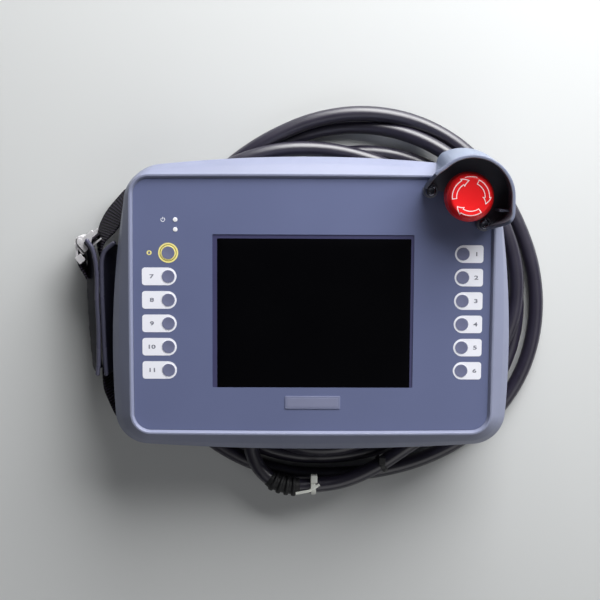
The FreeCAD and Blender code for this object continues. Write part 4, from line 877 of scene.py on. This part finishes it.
# Angle of each arrow's tail on the head, and how far the ink stands proud
ARROW_TAILS = (188.0, 66.0, -54.0)
INK_LIFT = 0.045
# Thin arc at the head's upper edge: the angles and the radii that it lies between
MARK_ANGLES, MARK_RADII = (108, 72), (11.85, 12.25)
# Spare hole of the sheet at the foot, closed flush
SOLID_FOOT = (95.3, 50.0)


def head_profile():
    """Mushroom: sloping underside, short rim, crowned shoulder and a shallow dish."""
    low, rim_low, rim_high = HEAD_LOW, HEAD_LOW + 4.6, HEAD_LOW + 7.0
    corners = [
        (0, low), (8.4, low), (HEAD_RADIUS, rim_low), (HEAD_RADIUS, rim_high),
        (HEAD_RADIUS - 1.0, rim_high + 3.8), (11.7, HEAD_TOP), (9.8, HEAD_TOP - 0.05), (0, HEAD_TOP - 0.75)]
    return rounded(corners, [0.5, 0.9, 2.0, 4.0, 2.0, 3.0], 8)


def stop_head():
    profile = head_profile()
    grids = [(moved(turned(profile, 128), STOP_X, STOP_Y), 0)]
    make_piece("stop_mushroom", grids, [RED], "stop_button", ["stop_head"])
    upper = profile[profile[:, 1] > HEAD_LOW + 4]
    upper = upper[np.argsort(upper[:, 0])]
    arrows = []
    for tail in ARROW_TAILS:
        arrows.append((stop_arrow(upper, tail, 0.0, INK_LIFT), 0))
        arrows.append((stop_arrow(upper, tail, 0.5, INK_LIFT + 0.03), 1))
    sweep = np.radians(np.linspace(*MARK_ANGLES, 24))
    across = np.linspace(*MARK_RADII, 3)
    arrows.append((on_head(upper, *np.meshgrid(sweep, across, indexing="ij"), INK_LIFT), 0))
    make_piece("stop_arrows", arrows, [ARROW, RED], "stop_button", sharp=80.0)


def on_head(upper, angle, radius, lift):
    """Points on the head's upper face at an angle and radius, raised a little."""
    height = np.interp(radius, *upper.T) + lift
    return np.dstack([radius[..., None] * ways(angle) + (STOP_X, STOP_Y), height])


def stop_arrow(upper, tail, inset_by, lift):
    """Curved arrow on the head, running clockwise from its tail angle, drawn in by a margin in mm.

    Across a row the radius runs from the inner to the outer edge; both edges close at the tip.
    """
    inner, outer, wide = 8.2, 11.3, 1.3
    body, reach = 66.0, 27.0
    middle = (inner + outer) / 2
    trim = math.degrees(inset_by / middle)
    half_body = (outer - inner) / 2 - inset_by
    half_head = (outer - inner) / 2 + wide - 1.9 * inset_by
    head_start = body + trim if inset_by else body
    tip = body + reach - 2.0 * trim
    along = np.concatenate([np.linspace(trim, head_start, 20), np.linspace(head_start, tip, 14)])
    half = np.concatenate([np.full(20, half_body), np.linspace(half_head, 0.02, 14)])
    across = np.linspace(-1, 1, 9)
    angle = np.radians(tail - along)[:, None] + 0 * across
    return on_head(upper, angle, middle + half[:, None] * across, lift)


def hood_lines():
    """Plan of the hood about the stop: outer line of the rim, of the foot, and the rim's height along both.

    The line is an arc with a bulged left end, a straight right side, a large corner and a short return.
    Towards the left end the wall leans out at the top instead of at the foot. Both ends drop to a screw foot.
    """
    angle = np.linspace(GUARD_START, 0, 72, endpoint=False)
    way = ways(np.radians(angle))
    rim = GUARD_RADIUS + rising(angle, *RIM_BULGE)
    foot = rim + GUARD_FLARE - rising(angle, *FOOT_DRAW)
    side = rounded([(GUARD_RADIUS, 0.0), (GUARD_RADIUS, HOOD_CORNER_Y), HOOD_END], [HOOD_CORNER], 14)
    length = run_along(side)[-1]
    place = np.linspace(0, length, 44)
    side = at_run(side, place)
    flare = GUARD_FLARE * (1 - ease((place - FLARE_FROM) / FLARE_OVER))
    spread = np.column_stack([flare, np.zeros(len(place))])
    right = RIGHT_DROP * ease((place - RIGHT_FROM) / (length - RIGHT_FROM + 1)) ** RIGHT_BEND
    drop = np.concatenate([rising(angle, *LEFT_DROP), right])
    top = np.concatenate([rim[:, None] * way, side])
    low = np.concatenate([foot[:, None] * way, side + spread])
    return top, low, GUARD_TOP_Z - drop


def inward(flat):
    """Unit normals to the right of a line in plan."""
    ahead = unit(np.gradient(flat, axis=0))
    return np.column_stack([ahead[:, 1], -ahead[:, 0]])


def stop_guard():
    """Flared hood: a wall with a rounded rim carried along the hood's lines, with a floor and two screw feet.

    A section point at a distance in from the outer face and a height share s lies at
    foot + s (rim - foot), moved inwards by the distance.
    """
    top, low, height = hood_lines()
    corners = [(GUARD_WALL, GUARD_FOOT_Z), (0.0, GUARD_FOOT_Z), (0.0, GUARD_TOP_Z), (GUARD_WALL, GUARD_TOP_Z),
               (GUARD_WALL, GUARD_FOOT_Z)]
    section = rounded(corners, [0.2, 0.7, 0.7], 5)
    normal = inward(top)

    def level(inwards, share):
        flat = low + (top - low) * share + inwards * normal
        return np.column_stack([flat, GUARD_FOOT_Z + (height - GUARD_FOOT_Z) * share])

    shares = (section[:, 1] - GUARD_FOOT_Z) / (GUARD_TOP_Z - GUARD_FOOT_Z)
    wall = moved(capped(np.stack([level(d, s) for d, s in zip(section[:, 0], shares)])), STOP_X, STOP_Y)
    # Rows of the section where the rim begins and where the inside begins
    crest = int(np.argmax(section[:, 1] > GUARD_TOP_Z - RIM_ROUND))
    inside = int(np.argmax((section[:, 0] > GUARD_WALL - RIM_ROUND) & (section[:, 1] > SHEET_Z)))
    # The inside, the floor and the feet take the paler guard colour: painted light for the dim hood
    grids = [(wall[:crest + 1], 0), (wall[crest:inside + 1], 2), (wall[inside:], 1)]
    rib = slab(6.4, 1.6, 0.4, SHEET_Z - 1, SHEET_Z + 20.0, 0.4)
    grids.append((moved(rib, STOP_X + GUARD_RADIUS - 3.9, STOP_Y - 8.2), 0))
    seat = SHEET_Z + FOOT_HEIGHT
    post = rounded([(0, SHEET_Z), (FOOT_RADIUS, SHEET_Z), (FOOT_RADIUS, seat), (0, seat)], [0.05, 0.9])
    grids += [(moved(turned(post, 48), x, y), 1) for x, y in FOOT_SPOTS]
    make_piece("stop_hood", grids, [HOOD, GUARD_PAINTED_LIGHT, HOOD_RIM], nodes=["stop_guard"])
    share = ((HOOD_FLOOR_Z - GUARD_FOOT_Z) / (height - GUARD_FOOT_Z))[:, None]
    rim = low + (top - low) * share + 0.5 * GUARD_WALL * normal
    hub = HUB_RADIUS * unit(rim)
    floor = stacked(loop(rim, hub, HOOD_FLOOR_Z, HOOD_FLOOR_Z - HOOD_FLOOR_DEPTH))
    floor = moved(capped(np.swapaxes(floor, 0, 1)), STOP_X, STOP_Y)
    make_piece("hood_floor", [(floor, 0)], [GUARD_PAINTED_LIGHT], nodes=["hood_base"])
    patch = slab(5.0, 5.0, 2.45, SHEET_Z - 0.6, SHEET_Z + 0.01, 0.005)
    make_piece("sheet_patch", [(moved(patch, *SOLID_FOOT), 0)], [SHEET])
    for number, (x, y) in enumerate(FOOT_SPOTS):
        screw_head(f"hood_screw_{number}", x, y, seat, 3.2, 2.2, BLACK_STEEL)
    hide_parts("guard_screws")


def screw_head(name, x, y, seat, radius, height, material, down=False):
    """Pan head with a six-sided socket: the socket's radius follows a hexagon round the axis."""
    corners = [(0, 0), (radius, 0), (radius, height), (radius * 0.52, height), (radius * 0.5, height * 0.45),
               (0, height * 0.4)]
    profile = rounded(corners, [0.05, height * 0.45, 0.12, 0.1])
    grid = turned(profile, 60)
    angle = np.linspace(0, 2 * np.pi, 61)
    hexagon = math.cos(math.pi / 6) / np.cos((angle + math.pi / 6) % (math.pi / 3) - math.pi / 6)
    inner = (profile[:, 0] < radius * 0.62) & (profile[:, 1] > 0.1)
    factor = np.where(inner[None, :], hexagon[:, None], 1.0)
    grid = grid * np.stack([factor, factor, np.full_like(factor, -1.0 if down else 1.0)], axis=2)
    return make_piece(name, [(moved(grid, x, y, seat), 0)], [material])


COVER_SPOTS = ((-103.0, 54.0), (105.0, 30.0), (-68.0, -72.0), (104.0, -66.0), (0.0, 71.0), (20.0, -72.0))


def cover_screws():
    height = TRAY_LOW_Z - node_span("cover_screws")[0]
    for number, (x, y) in enumerate(COVER_SPOTS):
        screw_head(f"cover_screw_{number}", x, y, TRAY_LOW_Z, 2.9, height, STEEL, True)
    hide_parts("cover_screws")


# Hand strap

PAD_LOW_Y, PAD_HIGH_Y = node_span("strap_pad_outer", 1)
PAD_LOW_Z, PAD_HIGH_Z = node_span("strap_pad_outer")
WELT_RADIUS, HEM_RADIUS = 1.4, 1.3
# At its top a leaf is this high from back to front
PAD_TOP_DEPTH = 5.0
STRAP_LOW_Z, STRAP_HIGH_Z = node_span("strap_webbing")
STRAP_STEP, STRAP_EASE = 1.0, 4
# Both edges of the webbing from the upper bracket to the lower one: x, y, z nearer the viewer, then below
STRAP_EDGES = (
    (-100.6, 66.8, 31.5, -100.6, 66.8, 6.5), (-106.0, 66.3, 31.3, -110.5, 71.3, 6.7),
    (-110.5, 61.5, 30.6, -118.6, 70.6, 7.4), (-114.0, 56.5, 30.2, -124.4, 63.9, 7.9),
    (-117.2, 52.2, 30.0, -129.6, 58.0, 8.1), (-120.0, 48.2, 29.8, -133.6, 51.8, 8.3),
    (-123.6, 43.4, 29.9, -136.2, 45.6, 8.2), (-128.2, 39.2, 30.2, -137.4, 39.9, 7.8),
    (-131.6, 35.6, 30.4, -137.6, 34.5, 7.2), (-132.2, 30.0, 31.0, -136.6, 29.0, 6.8),
    (-131.4, 20.0, 31.5, -134.0, 18.0, 6.5), (-130.6, 0.0, 31.5, -131.5, 0.0, 6.5),
    (-130.6, -30.0, 31.5, -130.6, -30.0, 6.5), (-131.8, -46.0, 31.4, -129.6, -46.0, 6.6),
    (-131.1, -56.4, 31.0, -126.0, -55.0, 6.8), (-127.2, -65.8, 31.0, -121.5, -64.0, 6.9),
    (-124.1, -72.8, 31.0, -117.0, -71.5, 6.8), (-118.5, -79.0, 31.2, -112.0, -76.2, 6.6),
    (-111.0, -79.2, 31.4, -107.5, -76.4, 6.5), (-104.0, -76.0, 31.5, -104.0, -76.0, 6.5))
TAIL_EDGES = (
    (-135.4, 41.2, 22.0, -136.4, 42.0, 4.0), (-137.0, 39.9, 26.5, -137.6, 40.2, 4.0),
    (-138.5, 38.7, 29.0, -139.0, 38.7, 4.0), (-144.0, 33.2, 28.6, -144.0, 33.2, 4.0),
    (-147.2, 29.6, 28.2, -146.2, 29.0, 4.0), (-147.8, 26.0, 28.2, -146.6, 25.0, 4.0),
    (-146.2, 21.6, 28.6, -145.8, 20.5, 4.0), (-141.4, 13.6, 29.0, -141.6, 13.3, 4.0))


def smooth_edges(edges):
    """Both edges of a strip at even steps along its middle, their bends eased by a moving window."""
    edges = np.array(edges, float)
    run = run_along(edges.reshape(len(edges), -1, 3).mean(axis=1))
    place = np.linspace(0, run[-1], int(run[-1] / STRAP_STEP) + 1)
    return np.column_stack([eased(column, STRAP_EASE, True) for column in mixed(edges, run, place).T])


def ribbon(edges, thick):
    """Woven strip between two edge lines: a rounded section mixed from edge to edge, raised along the normal.

    The lines come as one array of six columns. The normal stands on the run and on the line between them.
    """
    near, below = edges[:, :3], edges[:, 3:]
    middle = (near + below) / 2
    across = near - below
    normal = unit(np.cross(np.gradient(middle, axis=0), across))
    width = np.linalg.norm(across, axis=1).mean()
    section = rounded_rectangle(width, thick, thick * 0.42, 4) / (width, 1.0)
    return capped(swept(middle, section, across, normal))


def strap():
    band = ribbon(smooth_edges(STRAP_EDGES), 1.5)
    make_piece("strap_band", [(band, 0)], [WEBBING], nodes=["strap_webbing"])
    tail = ribbon(smooth_edges(TAIL_EDGES), 1.4)
    make_piece("strap_end", [(tail, 0)], [WEBBING], nodes=["strap_tail"])


def pad_leaf(name, front, back, bow, heel, top, node):
    """Padded leaf between its front and back lines, with rolled welts along both.

    For a height share the middle line of the section runs from the back line to the front line, bowed
    sideways, and the thickness swells between the welts. heel is the share above which the back rises,
    top is the height in plan at which the leaf ends.
    """
    count = 90
    share = np.linspace(0, 1, count)
    y = PAD_LOW_Y + (top - PAD_LOW_Y) * share
    front_x = eased(np.interp(share, *zip(*front)), 3)
    back_x = eased(np.interp(share, *zip(*back)), 8)
    rise = np.clip((share - heel) / (0.98 - heel), 0, 1) ** 2
    high_z = PAD_HIGH_Z - WELT_RADIUS
    low_z = PAD_LOW_Z + HEM_RADIUS + (high_z - PAD_TOP_DEPTH - PAD_LOW_Z - HEM_RADIUS) * rise
    across = np.linspace(0, 1, 25)
    # Half the thickness: swollen between the welts, lightly creased, drawn in at both ends
    puff = 1.05 + 1.5 * np.sin(np.pi * across) ** 0.7
    wave = np.sin(y * 0.55) * 0.5 + np.sin(y * 1.31 + 1.0) * 0.3
    end = np.clip(1 - (2 * share - 1) ** 24, 0, 1)[:, None] ** 0.5
    thick = (puff + 0.22 * np.sin(across * np.pi) ** 2 * wave[:, None]) * end
    middle_x = back_x[:, None] + (front_x - back_x)[:, None] * across ** 1.6 + bow * np.sin(np.pi * across)
    z = low_z[:, None] + (high_z - low_z)[:, None] * across
    ys = np.broadcast_to(y[:, None], middle_x.shape)
    outer = np.stack([middle_x - thick, ys, z], axis=2)
    inner = np.stack([middle_x + thick, ys, z], axis=2)
    around = np.concatenate([outer, inner[:, ::-1], outer[:, :1]], axis=1)
    shell = capped(np.swapaxes(around, 0, 1))
    # The front welt takes the lighter copy of the vinyl: a painted sheen along its crest
    roll = tube(np.column_stack([front_x, y, np.full(count, high_z)]), WELT_RADIUS, 24)
    rear = tube(np.column_stack([back_x, y, low_z]), HEM_RADIUS, 20)
    leaf = make_piece(
        name, [(shell, 0), (roll, 1), (rear, 0)], [VINYL, WELT_PAINTED_SHEEN], nodes=[node], sharp=60.0)


def tube(line, radius, count):
    """Round bar along a line, its ends closed by half balls."""
    ahead = unit(np.gradient(line, axis=0))
    quarter = np.linspace(0, np.pi / 2, 6)
    along, size = radius * np.cos(quarter)[:, None], radius * np.sin(quarter)
    centre = np.concatenate([line[:1] - ahead[:1] * along, line[1:-1], line[-1:] + ahead[-1:] * along[::-1]])
    sizes = np.concatenate([size, np.full(len(line) - 2, radius), size[::-1]])[:, None]
    ends = np.concatenate([np.zeros(6, int), np.arange(1, len(line) - 1), np.full(6, len(line) - 1)])
    side, up = side_and_up(ahead[ends])
    return swept(centre, circle(count), sizes * side, sizes * up)


# Lines of both leaves in plan: share of the height, x
OUTER_FRONT = (
    (0, -134.8), (0.08, -134.0), (0.35, -133.9), (0.55, -134.7), (0.73, -134.5), (0.82, -135.0),
    (0.9, -136.1), (0.96, -137.7), (0.985, -139.6), (1, -141.0))
OUTER_BACK = (
    (0, -136.8), (0.1, -138.6), (0.3, -140.4), (0.5, -141.3), (0.66, -141.8), (0.8, -141.6), (0.9, -140.0),
    (1, -140.2))
INNER_FRONT = (
    (0, -129.2), (0.09, -129.9), (0.35, -130.7), (0.6, -131.4), (0.75, -131.6), (0.86, -131.6),
    (0.925, -130.4), (0.962, -128.2), (0.985, -125.8), (1, -123.2))
INNER_BACK = ((0, -125.0), (0.3, -125.0), (0.75, -124.8), (1, -124.0))


def pads():
    pad_leaf("pad_leaf_outer", OUTER_FRONT, OUTER_BACK, -0.9, 0.85, PAD_HIGH_Y - 1.8, "strap_pad_outer")
    pad_leaf("pad_leaf_inner", INNER_FRONT, INNER_BACK, 0.9, 0.9, PAD_HIGH_Y - 3.4, "strap_pad_inner")


def turned_flat(grid, x, y, degrees):
    """Grid turned about Z and moved to a place in plan."""
    c, s = math.cos(math.radians(degrees)), math.sin(math.radians(degrees))
    return moved(grid @ np.array([[c, s, 0], [-s, c, 0], [0, 0, 1]]), x, y)


# Outline of the buckle's cheeks, their middle, the lean of the buckle in plan and the sheet metal's thickness
CHEEK = ((-147.9, 36.7), (-142.4, 30.4), (-139.0, 34.4), (-137.0, 43.6), (-137.9, 44.7))
CHEEK_X, CHEEK_Y = -140.4, 37.5
BUCKLE_LEAN = 39.0
CHEEK_THICK = 1.5


def plate(corners, round_by, low, high, edge):
    """Flat plate from a convex outline with rounded corners, its rims broken by a small bevel."""
    corners = np.array(corners, float)
    middle = (corners[-1] + corners[0]) / 2
    line = rounded([middle, *corners, middle], [round_by] * len(corners), 4)
    centre = line[:-1].mean(axis=0)
    reach = np.linalg.norm(line - centre, axis=1, keepdims=True)
    inner = centre + (line - centre) * (1 - edge / reach)
    return capped(stacked([(inner, low), (line, low + edge), (line, high - edge), (inner, high)]))


def buckle():
    """Steel buckle across the strap: two cheeks with a hem, a base and a pin."""
    low, high = STRAP_LOW_Z - 1.8, STRAP_HIGH_Z - 0.4
    lean = math.radians(BUCKLE_LEAN)
    hem_x, hem_y = CHEEK_X - 7.6 * math.cos(lean), CHEEK_Y - 7.6 * math.sin(lean)
    cheeks = [plate(CHEEK, 0.5, z, z + CHEEK_THICK, 0.25) for z in (low, high - CHEEK_THICK)]
    hem = slab(1.1, 8.8, 0.3, low + 1.0, high - 1.3, 0.2)
    base = slab(12.4, 1.2, 0.3, low + 1.3, high - 9.0, 0.2)
    hem = turned_flat(hem, hem_x, hem_y, BUCKLE_LEAN)
    base = turned_flat(base, CHEEK_X + 2.2, CHEEK_Y - 2.6, BUCKLE_LEAN)
    # Cheeks, hem and base take the buckle steel whose white diffuse colour is a painted reflection
    grids = [(form, 0) for form in (*cheeks, hem, base)]
    make_piece("buckle_channel", grids, [STEEL_PAINTED_SHINE], nodes=["buckle_frame"])
    shank, head = 1.25, 1.9
    corners = [
        (0, low - 0.15), (head, low - 0.15), (head, low + 0.2), (shank, low + 0.3), (shank, high - 0.3),
        (head, high - 0.2), (head, high + 0.1), (0, high + 0.12)]
    pin = turned(rounded(corners, [0.1, 0.1, 0.05, 0.05, 0.1, 0.1], 4), 32)
    x, y, _ = node_middle("cam_pin")
    make_piece("buckle_pin", [(moved(pin, x, y), 0)], [STEEL_PAINTED_SHINE], nodes=["cam_pin"])
    buckle_lever(x, y)


def buckle_lever(x, y):
    """Cam with a toothed barrel about the pin and a folded blade that ends in two ears."""
    low, high = STRAP_LOW_Z + 0.4, STRAP_HIGH_Z - 2.4
    teeth = 3.15 + 0.22 * np.cos(16 * np.linspace(0, 2 * np.pi, 97))
    barrel = teeth[:, None] * circle(96)
    line = rounded([(-2.0, 1.5), (-2.2, -6.0), (-1.9, -11.0), (0.6, -14.2)], [9.0, 2.0], 8)
    normal = 0.7 * inward(line)
    blade = np.concatenate([line - normal, (line + normal)[::-1], (line - normal)[:1]])
    grids = [(moved(capped(stacked([(flat, low), (flat, high)])), x, y), 0) for flat in (barrel, blade)]
    for z in (low - 0.2, high - 0.4):
        grids.append((turned_flat(slab(4.8, 5.2, 0.5, z, z + 1.6, 0.3), x, y - 11.1, 38.0), 0))
    make_piece("buckle_lever", grids, [STEEL_PAINTED_SHINE], "buckle_cam", ["buckle_cam"])


# Cable fittings

# Cut tail of the white tie
WHITE_TAIL = ((6.5, -120.5, 22.6), (0.0, -124.6, 23.2), (-9.0, -126.4, 22.6))


def along_cable(line, near, profile, count=48):
    """Turned shape carried along the cable: profile points (distance, radius) from its nearest point."""
    distance, radius = np.asarray(profile, float).T
    place = run_along(line)[np.argmin(np.linalg.norm(line - np.array(near), axis=1))] + distance
    ahead = unit(at_run(line, place + 0.8) - at_run(line, place - 0.8))
    side, up = side_and_up(ahead)
    return swept(at_run(line, place), circle(count), radius[:, None] * side, radius[:, None] * up)


def ribbed_sleeve(line):
    """Bend guard on the cable: a tapering core with four round ribs."""
    pitch, rib, core = 4.4, 6.7, 5.5
    corners = [(-10.6, CABLE_RADIUS - 0.3), (-10.6, 5.2), (-8.6, core)]
    for number in range(4):
        middle = (number - 1.5) * pitch
        corners += [(middle - 1.3, core), (middle - 1.3, rib), (middle + 1.3, rib), (middle + 1.3, core)]
    corners += [(10.5, core), (10.5, CABLE_RADIUS - 0.3), (-10.6, CABLE_RADIUS - 0.3)]
    radii = [0.2, 0.4] + [0.25, 0.9, 0.9, 0.25] * 4 + [0.5, 0.2]
    grid = along_cable(line, LEAD_ROUTE[4], rounded(corners, radii, 4))
    return make_piece("bend_sleeve", [(grid, 0)], [RUBBER], nodes=["ribbed_sleeve"])


def cable_tie(name, line, near, head_at, tail, material, node):
    """Strap round the cable with a head block and a cut tail."""
    ring = loop(-1.6, 1.6, CABLE_RADIUS - 0.1, CABLE_RADIUS + 1.1)
    hoop = along_cable(line, near, rounded(ring, [0.3, 0.3, 0.05], 3))
    grids = [(hoop, 0), (moved(slab(4.4, 5.2, 0.7, -2.4, 2.4, 0.5), *head_at), 0)]
    if tail is not None:
        grids.append((strip(tail, 1.9, 1.1), 0))
    return make_piece(name, grids, [material], nodes=[node])


def strip(points, width, thick):
    """Flat strip through points, its width kept level with the picture."""
    line = mixed(np.array(points), np.linspace(0, 1, len(points)), np.linspace(0, 1, 24))
    side, up = side_and_up(unit(np.gradient(line, axis=0)))
    return capped(swept(line, rounded_rectangle(width, thick, thick * 0.4, 4), side, up))


def fluted(grid, lobes, depth, above):
    """Turned grid with lobes round its axis wherever its radius is above a limit."""
    radius = np.linalg.norm(grid[..., :2], axis=2)
    angle = np.linspace(0, 2 * np.pi, grid.shape[0])[:, None]
    factor = np.where(radius > above, 1 + depth * np.cos(lobes * angle) / np.maximum(radius, 1), 1.0)
    return grid * np.stack([factor, factor, np.ones_like(factor)], axis=2)


def gland_nut():
    """Domed nut with grip lobes, open for the cable."""
    low, high = node_box("gland_nut")
    corners = [(5.0, 0), (10.7, 0), (10.7, 8.2), (8.8, 12.4), (7.4, 15.0), (5.2, 15.0), (5.0, 13.0), (5.0, 0)]
    grid = fluted(turned(rounded(corners, [0.4, 1.2, 2.0, 0.7, 0.3, 0.0]), 144), 18, 0.3, 10.3)
    middle = (low + high) / 2
    place = set_on(grid, (middle[0], high[1], middle[2]), (0, -1, 0), (1, 0, 0))
    make_piece("gland_dome", [(place, 0)], [BLACK], nodes=["gland_nut"])


def cable_plug():
    """Round connector: cable clamp, grooved shell, knurled ring, insert and contacts."""
    low, high = node_box("cable_plug")
    middle = (low + high) / 2
    end = high[1] - low[1]
    corners = [
        (0, 0), (6.2, 0), (8.0, 1.8), (8.0, 11.4), (9.2, 12.4), (11.0, 14.0), (11.0, 30.0), (10.2, 30.8),
        (10.2, 33.2), (11.0, 34.0), (11.0, end - 14.2), (13.0, end - 13.4), (13.0, end), (8.6, end),
        (8.5, end - 9.0), (0, end - 9.0)]
    radii = [0.5, 0.8, 0.6, 0.6, 1.0, 0.3, 0.2, 0.2, 0.3, 0.2, 0.9, 0.9, 0.3, 0.2]
    body = fluted(turned(rounded(corners, radii, 4), 192), 48, 0.22, 12.6)
    face = end - 5.8
    insert = turned([(0, face - 3.7), (7.8, face - 3.7), (7.8, face - 0.4), (7.4, face), (0, face)], 64)
    tip = [(0, end - 6.0), (0.8, end - 6.0), (0.8, end - 1.6), (0, end - 1.4)]
    pin = turned(rounded(tip, [0.05, 0.5]), 16)
    forms = [(body, 0), (insert, 1), (pin, 2)]
    forms += [(moved(pin, x, y), 2) for x, y in 4.9 * circle(8)[:-1]]
    start = (middle[0], low[1], middle[2])
    grids = [(set_on(form, start, (0, 1, 0), (1, 0, 0)), mark) for form, mark in forms]
    return make_piece("round_plug", grids, [STEEL, BLACK, BRASS], nodes=["cable_plug"])


def finish_nodes(table):
    """Give each listed solid its material."""
    for material, names in table:
        for name in names:
            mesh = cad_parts[name].data
            mesh.materials.clear()
            mesh.materials.append(material)
            mesh.polygons.foreach_set("material_index", np.zeros(len(mesh.polygons), np.int32))


# The whole scene

camera()
studio()
cord = cable()
line = cable_line()
front_frame()
rear_tray()
screen()
key_cap("operation_key", YELLOW)
for names, side, reach in ((LEFT_KEYS, 1, LEFT_REACH), (RIGHT_KEYS, -1, RIGHT_REACH)):
    for name in names:
        key_cap(name, WHITE)
        label_plate(name, side, reach)
operation_marks()
lamps()
bare_badge()
stop_head()
stop_guard()
strap()
pads()
buckle()
sleeve = ribbed_sleeve(line)
white = cable_tie(
    "tie_white", line, LEAD_ROUTE[5], (2.9, -116.8, 21.5), WHITE_TAIL, NYLON, "white_tie")
gland_nut()
cover_screws()
plug = cable_plug()
black = cable_tie(
    "tie_black", line, LEAD_ROUTE[7], (47.0, -104.8, 21.5), None, BLACK, "black_tie")
finish_nodes([
    (SHEET, ["front_sheet"]),
    (HOUSING, ["rear_block"]),
    (BLACK, [
        "stop_body", "stop_nut", "stop_contact_block", "enabling_plunger", "enabling_switch",
        "enabling_lever", "gland_body", "gland_locknut"]),
    (STEEL, ["board_screws", "lever_pin", "bracket_screws", "stop_spindle"]),
    (BLACK_STEEL, ["upper_strap_bracket", "lower_strap_bracket"]),
    (BRASS, ["threaded_inserts"]),
    (BOARD, ["main_board", "key_board"]),
    (SCREEN, ["display_module"]),
])
